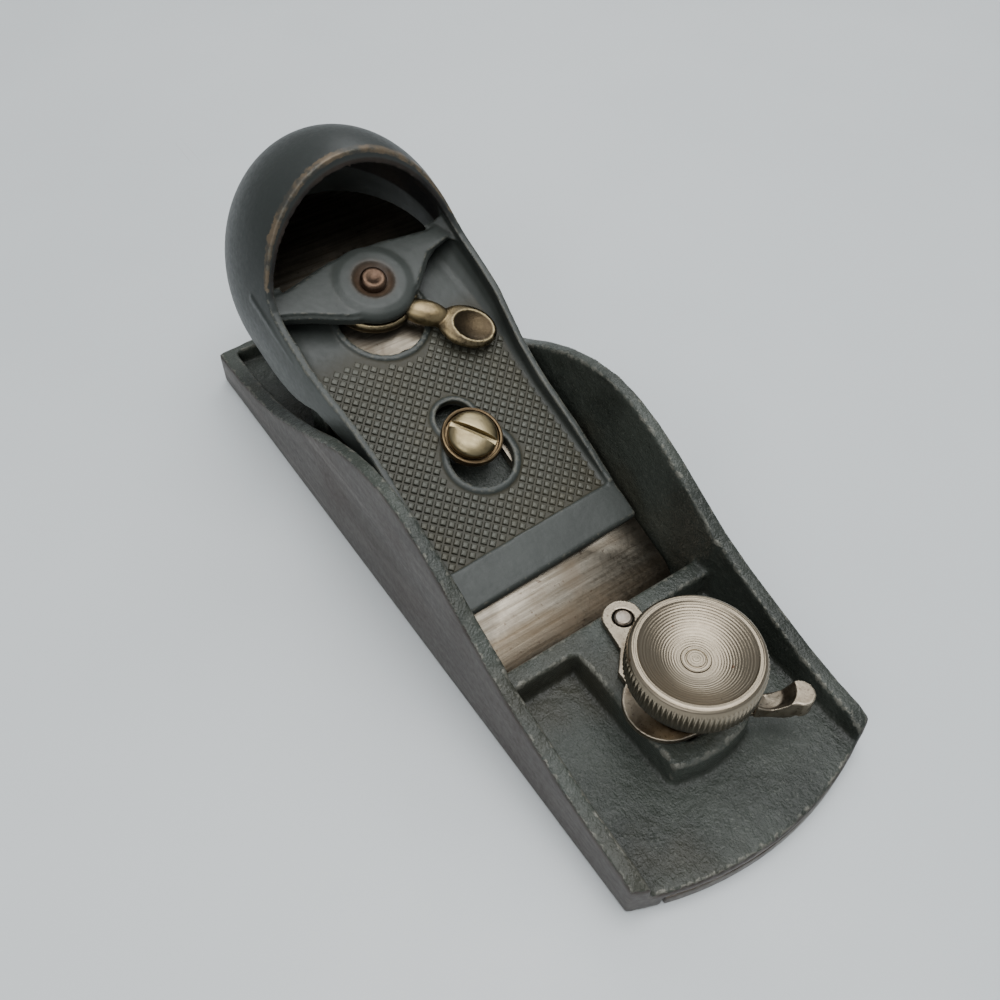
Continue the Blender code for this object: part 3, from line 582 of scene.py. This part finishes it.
def blade_steel():
    """Cutter steel: lateral grinding lines, brown patina, painted shade along the far side, a
    clear band in the middle.
    """
    p = Paint("blade_steel", 0.34, 1.0)
    bed = p.mapped(location=(BED_X * MM, 0.0, BED_Z * MM),
                   rotation=(0.0, math.radians(BED_DEG), 0.0), kind="TEXTURE")
    along = p.axis("X", bed)
    lines = p.noise(1500.0, 3.0, vector=p.mapped(rotation=(0, 0, 0.05), scale=(1.0, 0.035, 1.0)))
    soft = p.noise(60.0, 4.0)
    fine = p.noise(1500.0, 3.0)
    colour = p.mix(p.span(lines, 0.3, 0.7), (0.18, 0.154, 0.117), (0.315, 0.282, 0.228))
    low = p.span(p.sum("ADD", along, p.span(soft, 0.2, 0.8, -0.0015, 0.0015)), -0.0128, -0.0112)
    colour = p.mix(p.sum("MULTIPLY", low, 0.45), colour, (0.19, 0.14, 0.085))
    patina = p.span(p.noise(130.0, 4.0), 0.45, 0.72)
    colour = p.mix(p.sum("MULTIPLY", patina, 0.4), colour, (0.15, 0.108, 0.07))
    spots = p.span(p.noise(900.0, 3.0), 0.64, 0.72)
    colour = p.mix(p.sum("MULTIPLY", spots, 0.6), colour, (0.085, 0.055, 0.038))
    # Painted shade: the strip of blade beside the far cheek is darkened.
    far = p.span(p.axis("Y"), 0.0155, 0.0205)
    colour = p.mix(p.sum("MULTIPLY", far, p.span(soft, 0.3, 0.6, 0.3, 0.8)), colour,
                   (0.070, 0.062, 0.048))
    rough = p.sum("ADD", p.span(fine, 0.2, 0.8, 0.30, 0.42), p.sum("MULTIPLY", patina, 0.12))
    return p.done(colour, rough, None, p.bump(lines, 0.00004, 0.7))


def steel(name, bright, dark):
    """Bare metal blotched between two tones."""
    p = Paint(name, 0.4, 1.0)
    fine = p.noise(1300.0, 3.0)
    colour = p.mix(p.span(p.noise(200.0, 4.0), 0.35, 0.7), bright, dark)
    return p.done(colour, p.span(fine, 0.2, 0.8, 0.32, 0.5), None, p.bump(fine, 0.00005, 0.6))


def floor_paint():
    """Pale matt tabletop with faint smudges and hair scratches."""
    p = Paint("tabletop", 0.42)
    broad = p.noise(5.0, 4.0)
    colour = p.mix(p.span(broad, 0.3, 0.7), (0.560, 0.590, 0.600), (0.600, 0.625, 0.632))
    hair = p.noise(40.0, 1.0, vector=p.mapped(rotation=(0, 0, 0.9), scale=(0.04, 1.0, 1.0)),
                   distortion=0.4)
    line = p.span(p.sum("ABSOLUTE", p.sum("SUBTRACT", hair, 0.5), 0.0), 0.0, 0.0015, 1.0, 0.0)
    line = p.sum("MULTIPLY", line, p.span(p.noise(14.0, 2.0), 0.62, 0.70))
    colour = p.mix(p.sum("MULTIPLY", line, 0.35), colour, (0.36, 0.36, 0.35))
    return p.done(colour, p.span(p.noise(30.0, 3.0), 0.3, 0.7, 0.38, 0.50), None,
                  p.bump(p.noise(500.0, 2.0), 0.00003, 0.3))


# ---------------------------------------------------------------- pieces

def make_body(mat):
    """Casting with rounded edges, bare ground outside faces and a finger hollow each side."""
    obj = soften(copy_node("body", "plane_body_casting"), 0.38 * MM, 14)
    mesh = obj.data
    co = positions(mesh)
    along = (co[:, 0] - HOLLOW_X * MM) / (HOLLOW_LENGTH * MM)
    up = (co[:, 2] - HOLLOW_Z * MM) / (HOLLOW_HEIGHT * MM)
    hollow = HOLLOW_DEPTH * MM * np.exp(-along ** 2 - up ** 2)
    outer = smooth_step(23.5 * MM, 25.2 * MM, np.abs(co[:, 1]))
    co[:, 1] -= np.sign(co[:, 1]) * hollow * outer
    set_positions(mesh, co)
    mark_edges(obj, 0.16 * MM, 10)
    low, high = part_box("body")
    half = high.y
    toe_radius = (half * half + (TOE_SAG * MM) ** 2) / (2 * TOE_SAG * MM)
    toe = high.x - toe_radius + np.sqrt(toe_radius ** 2 - np.minimum(co[:, 1] ** 2, half ** 2))
    side = smooth_step(half - 0.30 * MM, half - 0.12 * MM, np.abs(co[:, 1]) + hollow * outer)
    ends = np.maximum(smooth_step(-0.35 * MM, -0.15 * MM, co[:, 0] - toe),
                      1.0 - smooth_step(low.x + 0.5 * MM, low.x + 1.4 * MM, co[:, 0]))
    sole = 1.0 - smooth_step(0.12 * MM, 0.3 * MM, co[:, 2])
    set_attribute(mesh, "ground", np.maximum.reduce([side, ends, sole]))
    return dress(obj, mat, "body")


def cap_half(s, wall=0.0):
    """Half width of the cap at s, which widens toward the hood."""
    knots = ((0.0, 20.0), (52.0, 20.1), (60.0, 20.7), (66.0, 21.7), (72.0, 22.7), (80.0, 23.0),
             (140.0, 23.0))
    return float(np.interp(s, [k[0] for k in knots], [k[1] for k in knots])) - wall


def hood_solid(name, wall, roof, front):
    """Trunk as wide as the cap whose rear closes as an ellipsoid."""
    sections = [(s, cap_half(s, wall), HOOD_C - roof, -0.2)
                for s in np.linspace(front, HOOD_S, 40)]
    for deg in np.linspace(2.5, 86.0, 34):
        s = HOOD_S + (HOOD_A - wall) * math.sin(math.radians(deg))
        scale = math.cos(math.radians(deg))
        rise = math.tan(math.radians(HOOD_TILT)) * (s - HOOD_S)
        sections.append((s, (HOOD_B - wall) * scale, (HOOD_C - roof) * scale, rise - 0.2))
    bm = bmesh.new()
    count = 144
    rings = []
    for s, half, tall, mid in sections:
        rings.append([bm.verts.new((-s, half * math.cos(2 * math.pi * (k + 0.5) / count),
                                    tall * math.sin(2 * math.pi * (k + 0.5) / count) + mid))
                      for k in range(count)])
    for a, b in zip(rings, rings[1:]):
        for k in range(count):
            n = (k + 1) % count
            bm.faces.new((a[k], a[n], b[n], b[k]))
    bm.faces.new(rings[0][::-1])
    bm.faces.new(rings[-1])
    return from_bmesh(name, bm)


def make_cap(mat):
    """Lever cap: hood, rails, plate with rimmed openings, front band and bridge."""
    cap = hood_solid("lever_cap_casting", 0.0, 0.0, CAP_STEP - 0.4)
    combine(cap, [hood_solid("inner", HOOD_WALL, HOOD_ROOF, 20.0)], "DIFFERENCE")
    crest = [(-CAP_STEP, 2.6), (-30.0, 3.3), (-34.0, 4.0), (-40.0, 4.8), (-48.0, 5.3),
             (-54.0, 5.8), (-60.0, 6.4), (-66.0, 7.1), (-71.0, 7.9), (-77.0, 8.6), (-82.0, 9.1),
             (-85.0, 9.8), (-87.2, 11.0), (-89.2, 13.0), (-92.5, 18.0), (-99.2, 29.5),
             (-101.0, 36.0), (-130.0, 36.0)]
    skirt = [(-130.0, -9.0), (-106.0, -9.4), (-100.0, -10.2), (-94.0, -10.6), (-88.0, -10.2),
             (-84.0, -8.8), (-80.0, -6.9), (-76.0, -4.9), (-72.0, -2.4), (-68.0, 0.3),
             (-CAP_STEP, 0.3)]
    combine(cap, [prism("keep", crest + skirt, -40.0, 40.0, "Y")], "INTERSECT")
    side = ((-CAP_FRONT, 0.3), (-CAP_FRONT, 1.5), (-CAP_FRONT - 0.5, 2.2), (-CAP_STEP, 2.45),
            (-CAP_STEP - 0.3, 1.9), (-92.0, 1.9), (-92.0, 0.3))
    plate = prism("plate", side, -CAP_HALF + 0.9, CAP_HALF - 0.9, "Y")
    lip = ((-CAP_FRONT, 0.3), (-CAP_FRONT, 1.5), (-CAP_FRONT - 0.5, 2.2), (-CAP_STEP - 0.6, 2.5),
           (-CAP_STEP - 0.6, 0.3))
    adds = [prism("front", lip, -CAP_HALF, CAP_HALF, "Y")]
    for s, inner, outer in KEYHOLE:
        adds.append(lathe("rim", ((outer, 0.9), (outer, 2.3), (outer - 0.5, 2.6), (0.0, 2.6),
                                  (0.0, 0.9)), 72, Matrix.Translation((-s, 0, 0))))
    ws, wy, wx, wr = WINDOW
    adds.append(prism("sill", oval(-ws, wy, wx + 1.2, wr + 1.2, 80), 0.9, 2.5))
    combine(plate, adds, "UNION")
    cuts = [lathe("eye", ((inner, -1.0), (inner, 6.0), (0.0, 6.0), (0.0, -1.0)), 72,
                  Matrix.Translation((-s, 0, 0))) for s, inner, outer in KEYHOLE]
    cuts.append(prism("pane", oval(-ws, wy, wx, wr, 80), -1.0, 5.0))
    combine(plate, cuts, "DIFFERENCE")
    combine(cap, [plate], "UNION")
    combine(cap, bridge_parts(), "UNION")
    combine(cap, [lathe("sink", ((2.9, BRIDGE_H - 0.9), (3.9, BRIDGE_H - 0.3), (5.2, 12.0),
                                 (0.0, 12.0), (0.0, BRIDGE_H - 0.9)), 72,
                        Matrix.Translation((-RIVET_S, 0, 0))),
                  lathe("eyelet", ((2.3, 4.0), (2.3, 15.0), (0.0, 15.0), (0.0, 4.0)), 48,
                        Matrix.Translation((-RIVET_S, 0, 0)))], "DIFFERENCE")
    cap.data.transform(bed_matrix(0.0, CAP_SKEW))
    to_metres(cap)
    soften(cap, 0.27 * MM, 8)
    mark_edges(cap, 0.12 * MM, 10)
    paint_cap_masks(cap.data)
    return dress(cap, mat, "lever_cap")


def fillet(name, sections, sign):
    """Concave corner filling along the cap; sections are (s, wall y, floor h, size)."""
    bm = bmesh.new()
    rings = []
    for s, wall, floor, size in sections:
        ring = [(wall + 0.7, floor - 0.5), (wall - size, floor - 0.5), (wall - size, floor)]
        for deg in (20, 45, 70):
            angle = math.radians(deg)
            ring.append((wall - size + size * math.sin(angle),
                         floor + size - size * math.cos(angle)))
        ring += [(wall, floor + size), (wall + 0.7, floor + size)]
        rings.append([bm.verts.new((-s, sign * y, h)) for y, h in ring])
    for a, b in zip(rings, rings[1:]):
        for k in range(len(a)):
            n = (k + 1) % len(a)
            bm.faces.new((a[k], a[n], b[n], b[k]))
    bm.faces.new(rings[0][::-1])
    bm.faces.new(rings[-1])
    return from_bmesh(name, bm)


def bridge_parts():
    """Bow-tie bridge that swells into a round boss, with coves to the side walls."""
    front = [(-85.2, -22.0), (-84.0, -18.0), (-82.2, -14.0), (-80.4, -11.0), (-78.6, -7.6),
             (-77.6, -4.0), (-77.2, 0.0), (-77.6, 4.0), (-79.2, 7.6), (-81.8, 10.4),
             (-84.6, 13.4), (-86.8, 17.0), (-88.2, 22.0)]
    rear = [(-90.8, 22.0), (-90.4, 16.0), (-91.2, 11.0), (-92.0, 6.0), (-92.4, 0.0),
            (-92.0, -6.0), (-91.0, -11.0), (-90.0, -16.0), (-90.4, -22.0)]
    boss = lathe("boss", ((8.5, 5.4), (8.5, 6.8), (7.8, 7.8), (6.4, BRIDGE_H + 0.15),
                          (0.0, BRIDGE_H + 0.15), (0.0, 5.4)), 72,
                 Matrix.Translation((-RIVET_S, 0, 0)))
    inset = [(a + (0.7 if a < -86.5 else -0.7), b) for a, b in front + rear]
    parts = [prism("wings", front + rear, 4.9, 7.0), prism("crown", inset, 6.0, 7.7), boss]
    for sign in (-1.0, 1.0):
        rows = [(s, cap_half(s) - 1.2, 1.8, size) for s, size in
                ((CAP_STEP + 0.5, 1.3), (45.0, 1.6), (60.0, 2.2), (68.0, 3.2), (76.0, 4.6),
                 (84.0, 5.6), (91.5, 6.0))]
        parts.append(fillet("cove", rows, sign))
        rows = [(s, cap_half(s) - 1.2, 7.3, size) for s, size in
                ((85.0, 1.2), (87.0, 2.8), (89.0, 4.4), (91.2, 5.6))]
        web = fillet("web", rows, sign)
        combine(web, [hood_solid("guard", 0.3, 0.3, CAP_STEP)], "INTERSECT")
        parts.append(web)
    return parts


def paint_cap_masks(mesh):
    s, y, h = to_cap(positions(mesh))
    half = np.interp(s, [52.0, 60.0, 66.0, 72.0, 80.0], [20.1, 20.7, 21.7, 22.7, 23.0])
    flat = smooth_step(2.3, 2.05, h) * smooth_step(0.9, 1.4, h)
    in_field = flat * smooth_step(CAP_STEP - 0.2, CAP_STEP + 0.8, s) * smooth_step(78.0, 72.0, s)
    set_attribute(mesh, "field", in_field * smooth_step(half - 1.6, half - 3.2, np.abs(y)))
    past = np.maximum(s - HOOD_S, 0.0)
    rise = math.tan(math.radians(HOOD_TILT)) * past - 0.2
    reach = np.sqrt((past / HOOD_A) ** 2 + (y / (half + 0.01)) ** 2 + ((h - rise) / HOOD_C) ** 2)
    inner = np.sqrt((past / (HOOD_A - HOOD_WALL - 0.25)) ** 2
                    + (y / (half - HOOD_WALL - 0.1)) ** 2
                    + ((h - rise) / (HOOD_C - HOOD_ROOF - 0.1)) ** 2)
    # inside: the hood's interior, which the enamel paints dark as shadow with rust.
    inside = smooth_step(1.055, 1.035, inner) * smooth_step(82.0, 92.0, s)
    inside = inside * smooth_step(2.6, 3.4, h)
    bridge = smooth_step(11.5, 9.5, h) * smooth_step(93.0, 91.5, s)
    set_attribute(mesh, "inside", inside * (1.0 - bridge))
    mouth = np.interp(h, [9.0, 11.0, 18.0, 29.5, 36.0], [83.0, 87.2, 92.5, 99.2, 101.0])
    near = smooth_step(2.2, 0.6, np.abs(s - mouth)) * smooth_step(9.5, 14.0, h)
    set_attribute(mesh, "lip", near * smooth_step(0.965, 0.985, reach))
    # hood: the hood's shell, which the enamel darkens as painted shade.
    set_attribute(mesh, "hood", smooth_step(78.0, 90.0, s) * smooth_step(0.93, 0.97, reach))
    radius = np.hypot(s - RIVET_S, y)
    set_attribute(mesh, "sink", smooth_step(5.2, 3.2, radius) * smooth_step(5.0, 6.0, h))


def allowed(s, y):
    """True where the checkering covers the cap's face."""
    for centre, _, outer in KEYHOLE:
        if math.hypot(s - centre, y) < outer + 0.75:
            return False
    ws, wy, wx, wr = WINDOW
    if math.hypot((s - ws) / (wx + 2.2), (y - wy) / (wr + 2.2)) < 1.0:
        return False
    if s < CAP_STEP + 1.3 or s > 72.5:
        return False
    return abs(y) < cap_half(s) - 2.7


def make_checkering(mat):
    """Small square pips set corner to corner across the cap's face."""
    bm = bmesh.new()
    layer = bm.verts.layers.float.new("tall")
    step = PIP_PITCH / math.sqrt(2.0)
    levels = ((0.84, -0.25, 0.0), (0.74, 0.14, 0.35), (0.58, 0.37, 0.8), (0.34, PIP_TOP, 1.0))
    random.seed(PIP_SEED)
    for i in range(0, 60):
        for j in range(-30, 31):
            if (i + j) % 2:
                continue
            s, y = CAP_STEP + 0.6 + i * step, j * step
            if not allowed(s, y):
                continue
            faded = float(smooth_step(74.0, 64.0, np.array(s)) * 0.5 + 0.5)
            worn = random.uniform(0.86, 1.0) * faded
            rings = []
            for size, height, tall in levels:
                reach = size * PIP_PITCH / math.sqrt(2.0)
                z = PIP_FLOOR + height * (worn if height > 0 else 1.0)
                ring = []
                for dx, dy in ((1, 0), (0, 1), (-1, 0), (0, -1)):
                    vert = bm.verts.new((-s + dx * reach, y + dy * reach, z))
                    vert[layer] = tall
                    ring.append(vert)
                rings.append(ring)
            for a, b in zip(rings, rings[1:]):
                for k in range(4):
                    n = (k + 1) % 4
                    bm.faces.new((a[k], a[n], b[n], b[k]))
            bm.faces.new(rings[-1])
            bm.faces.new(rings[0][::-1])
    obj = from_bmesh("cap_checkering", bm, bed_matrix(0.0, CAP_SKEW))
    to_metres(obj)
    shade_smooth(obj, 30)
    return dress(obj, mat, "lever_cap", stands_in=False)


def make_knob(mat):
    """Dished finger knob: ribbed band, chamfers, turned rings and a waisted neck."""
    top = KNOB_TOP
    profile = [(3.3, 12.4), (5.4, 12.4), (5.6, 12.6), (5.6, 15.0), (5.8, 16.2), (6.6, 17.8),
               (8.0, 19.4), (9.6, 20.5), (10.3, 21.0), (10.7, 21.7), (10.75, 22.1),
               (KNOB_R, 22.35), (KNOB_R, top - 1.35), (10.8, top - 1.15), (10.7, top - 0.7),
               (10.5, top - 0.25), (10.2, top - 0.04), (9.4, top), (9.25, top - 0.06),
               (9.1, top - 0.25)]
    for k in range(1, 41):
        t = k / 40.0
        profile.append((9.1 + (2.45 - 9.1) * t, top - 0.25 - 2.2 * math.sin(0.5 * math.pi * t)))
    profile += [(2.42, top - 2.6), (2.42, 21.2), (3.3, 21.2)]
    steps = KNOB_RIBS * 6
    shape = (0.0, -0.02, -0.14, -0.24, -0.14, -0.02)

    def wave(radius, height, k):
        return shape[k % 6] if radius >= KNOB_R - 1e-6 else 0.0

    obj = lathe("front_knob_turned", profile, steps, None, wave)
    to_metres(obj)
    shade_smooth(obj, 40)
    obj.location.x = KNOB_X * MM
    return dress(obj, mat, "front_knob")


def make_knob_end(mat):
    """Riveted end of the post in the middle of the dish, with a turned ring."""
    top = KNOB_TOP - 2.35
    profile = [(0.0, 1.6), (2.6, 1.6), (3.0, 2.0), (3.0, 20.8), (2.38, 20.8), (2.38, top - 0.12),
               (2.3, top), (1.75, top), (1.65, top - 0.12), (1.5, top - 0.12), (1.4, top + 0.02),
               (0.5, top + 0.05), (0.0, top + 0.05)]
    obj = to_metres(lathe("knob_stud_end", profile, 72))
    shade_smooth(obj, 40)
    obj.location.x = KNOB_X * MM
    return dress(obj, mat, "knob_stud")


def make_screw(mat):
    """Domed brass screw head with a worn slot."""
    profile = [(0.0, -12.5), (1.9, -12.5), (2.3, -12.0), (2.3, 3.9), (4.5, 3.9), (4.75, 4.05),
               (4.85, 4.3), (4.85, 4.9)]
    for k in range(1, 14):
        angle = math.radians(6.0 * k + 4.0)
        profile.append((4.85 * math.cos(angle) ** 0.8, 4.9 + 1.75 * math.sin(angle)))
    profile.append((0.0, 6.65))
    screw = lathe("cap_screw_head", profile, 96, bed_matrix(SCREW_S))
    place = bed_matrix(SCREW_S) @ Matrix.Rotation(math.radians(38), 4, "Z")
    slot = prism("slot", [(-7.0, -0.62), (7.0, -0.62), (7.0, 0.62), (-7.0, 0.62)], 5.2, 9.0, "Z",
                 place)
    combine(screw, [slot], "DIFFERENCE")
    to_metres(screw)
    soften(screw, 0.12 * MM, 2)
    mark_edges(screw, 0.05 * MM, 8)
    return dress(screw, mat, "cap_screw")


def make_ring(mat):
    """Raised collar round the head of the cap screw."""
    profile = ((2.6, 2.8), (5.6, 2.8), (5.9, 2.95), (6.0, 3.3), (6.0, 4.3), (5.85, 4.6),
               (5.6, 4.7), (5.35, 4.6), (5.2, 4.3), (5.2, 3.6), (2.6, 3.6))
    ring = to_metres(lathe("cap_screw_collar", profile, 96, bed_matrix(SCREW_S)))
    shade_smooth(ring, 40)
    return dress(ring, mat, "cap_screw_ring")


def make_rivet(mat):
    """Rivet in the bridge's boss with a shallow dimple."""
    top = BRIDGE_H + 0.8
    profile = ((1.9, 2.7), (1.9, BRIDGE_H - 1.0), (2.6, BRIDGE_H - 1.0),
               (2.6, BRIDGE_H - 0.5), (2.6, top - 0.6), (2.4, top - 0.2), (2.0, top),
               (1.4, top - 0.05), (0.8, top - 0.3), (0.0, top - 0.4), (0.0, 2.7))
    rivet = to_metres(lathe("cam_rivet_head", profile, 64, bed_matrix(RIVET_S, CAP_SKEW)))
    shade_smooth(rivet, 40)
    return dress(rivet, mat, "cam_rivet")


def ellipsoid(name, centre, radii, degrees, matrix):
    """Ellipsoid in the matrix's frame, turned about its own upright axis."""
    bm = bmesh.new()
    place = (Matrix.Translation(centre) @ Matrix.Rotation(math.radians(degrees), 4, "Z")
             @ Matrix.Diagonal((*radii, 1.0)))
    bmesh.ops.create_uvsphere(bm, u_segments=40, v_segments=24, radius=1.0, matrix=place)
    return from_bmesh(name, bm, matrix)


def make_cam(mat):
    """Cam lever: hub and drop below the boss, a bent knuckle and a scooped thumb pad."""
    place = bed_matrix(RIVET_S, CAP_SKEW)
    lever = lathe("cam_lever_brass", ((8.6, 2.9), (9.1, 3.2), (9.1, 4.6), (8.7, 5.0), (0.0, 5.0),
                                      (0.0, 2.9)), 96, place)
    cam = lathe("cam", ((4.2, 0.7), (4.2, 3.4), (0.0, 3.4), (0.0, 0.7)), 48, place)
    knuckle = ellipsoid("knuckle", (9.2, 6.6, 4.6), (5.2, 2.7, 2.3), 48.0, place)
    neck = ellipsoid("neck", (12.2, 9.6, 4.3), (3.6, 2.4, 1.6), 45.0, place)
    pad = ellipsoid("pad", (15.7, 12.5, 4.6), (6.0, 4.7, 1.9), CAM_TURN, place)
    combine(lever, [cam, knuckle, neck, pad], "UNION")
    scoop = ellipsoid("scoop", (17.2, 13.7, 8.6), (6.6, 5.2, 3.7), CAM_TURN, place)
    bore = lathe("bore", ((2.3, -2.0), (2.3, 12.0), (0.0, 12.0), (0.0, -2.0)), 48, place)
    combine(lever, [scoop, bore], "DIFFERENCE")
    to_metres(lever)
    soften(lever, 0.17 * MM, 4)
    mark_edges(lever, 0.07 * MM, 10)
    s, y, _ = to_cap(positions(lever.data))
    hub = smooth_step(9.6, 8.8, np.hypot(s - RIVET_S, y))
    pan = smooth_step(5.8, 4.6, np.hypot(s - RIVET_S + 16.8, y - 13.4))
    set_attribute(lever.data, "shade", np.maximum(hub, pan))
    return dress(lever, mat, "cam_lever")


def make_softened(node, name, mat, voxel, passes, depth):
    obj = soften(copy_node(node, name), voxel * MM, passes)
    mark_edges(obj, depth * MM, 8)
    return dress(obj, mat, node)


def make_bevelled(node, name, mat, width):
    """A machined piece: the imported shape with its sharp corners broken."""
    obj = copy_node(node, name)
    bm = bmesh.new()
    bm.from_mesh(obj.data)
    bmesh.ops.remove_doubles(bm, verts=bm.verts, dist=1e-6)
    bmesh.ops.dissolve_limit(bm, angle_limit=math.radians(1.5), verts=bm.verts, edges=bm.edges)
    bm.to_mesh(obj.data)
    bm.free()
    mod = obj.modifiers.new("corner", "BEVEL")
    mod.width = width * MM
    mod.segments = 2
    mod.limit_method = "ANGLE"
    mod.angle_limit = math.radians(35)
    apply_modifiers(obj)
    shade_smooth(obj, 35)
    return dress(obj, mat, node)


# ---------------------------------------------------------------- stage

def make_floor(mat):
    bpy.ops.mesh.primitive_plane_add(size=6.0, location=(0.0, 0.0, -0.0001))
    floor = bpy.context.object
    floor.name = "floor"
    floor.data.materials.append(mat)


def make_camera():
    a, e, r = (math.radians(v) for v in (AZIMUTH, ELEVATION, ROLL))
    back = Vector((math.sin(a) * math.cos(e), -math.cos(a) * math.cos(e), math.sin(e)))
    side = Vector((math.cos(a), math.sin(a), 0.0))
    up = back.cross(side)
    right = math.cos(r) * side + math.sin(r) * up
    top = -math.sin(r) * side + math.cos(r) * up
    data = bpy.data.cameras.new("camera")
    data.lens = LENS
    data.sensor_width = SENSOR
    data.clip_start = 0.005
    data.clip_end = 20.0
    camera = bpy.data.objects.new("camera", data)
    bpy.context.scene.collection.objects.link(camera)
    turn = Matrix((right, top, back)).transposed().to_4x4()
    camera.matrix_world = Matrix.Translation(Vector(TARGET) + back * DISTANCE) @ turn
    bpy.context.scene.camera = camera


def area_light(name, place, size, power, colour, aim=(0.0, 0.0, 0.02)):
    data = bpy.data.lights.new(name, "AREA")
    data.shape = "RECTANGLE"
    data.size, data.size_y = size
    data.energy = power
    data.color = colour
    obj = bpy.data.objects.new(name, data)
    bpy.context.scene.collection.objects.link(obj)
    obj.location = place
    obj.rotation_euler = (Vector(place) - Vector(aim)).to_track_quat("Z", "Y").to_euler()


def make_lights():
    world = bpy.data.worlds.new("studio")
    bpy.context.scene.world = world
    world.use_nodes = True
    world.node_tree.nodes["Background"].inputs["Color"].default_value = (0.86, 0.90, 0.93, 1.0)
    world.node_tree.nodes["Background"].inputs["Strength"].default_value = 0.44
    area_light("ceiling", (0.10, 0.10, 1.30), (1.3, 1.0), 20.0, (0.98, 0.99, 1.0))
    area_light("rear_panel", (-0.75, 0.75, 0.95), (0.7, 0.5), 4.0, (0.95, 0.98, 1.0))
    area_light("front_panel", (0.55, -0.95, 0.85), (0.9, 0.7), 5.0, (0.98, 0.99, 1.0))


def main():
    """Makes every piece, then the stage."""
    plain = steel("tool_steel", (0.42, 0.38, 0.33), (0.20, 0.16, 0.125))
    brown = steel("browned_steel", (0.125, 0.082, 0.056), (0.060, 0.038, 0.027))
    iron = steel("ground_iron", (0.16, 0.145, 0.13), (0.075, 0.062, 0.052))
    brass = brass_aged()
    nickel = nickel_plain()
    make_body(casting_paint())
    make_cap(cap_paint())
    make_checkering(pip_paint())
    turned = nickel_turned()
    make_knob(turned)
    make_knob_end(turned)
    make_screw(brass)
    make_ring(steel("collar_brass", (0.20, 0.145, 0.082), (0.115, 0.080, 0.046)))
    make_rivet(brown)
    make_cam(cam_brass())
    make_softened("eccentric_lever", "eccentric_lever_plated", nickel, 0.18, 3, 0.10)
    make_bevelled("blade", "blade_ground", blade_steel(), 0.12)
    make_bevelled("mouth_plate", "mouth_plate_ground", iron, 0.15)
    make_bevelled("eccentric_pin", "eccentric_pin_end", plain, 0.10)
    make_bevelled("depth_nut", "depth_nut_knurled", brass, 0.10)
    for node in ("depth_stud", "depth_crank", "crank_pin", "side_lever", "side_rivet",
                 "slot_roller"):
        make_bevelled(node, node + "_steel", plain, 0.10)
    make_floor(floor_paint())
    make_camera()
    make_lights()


main()
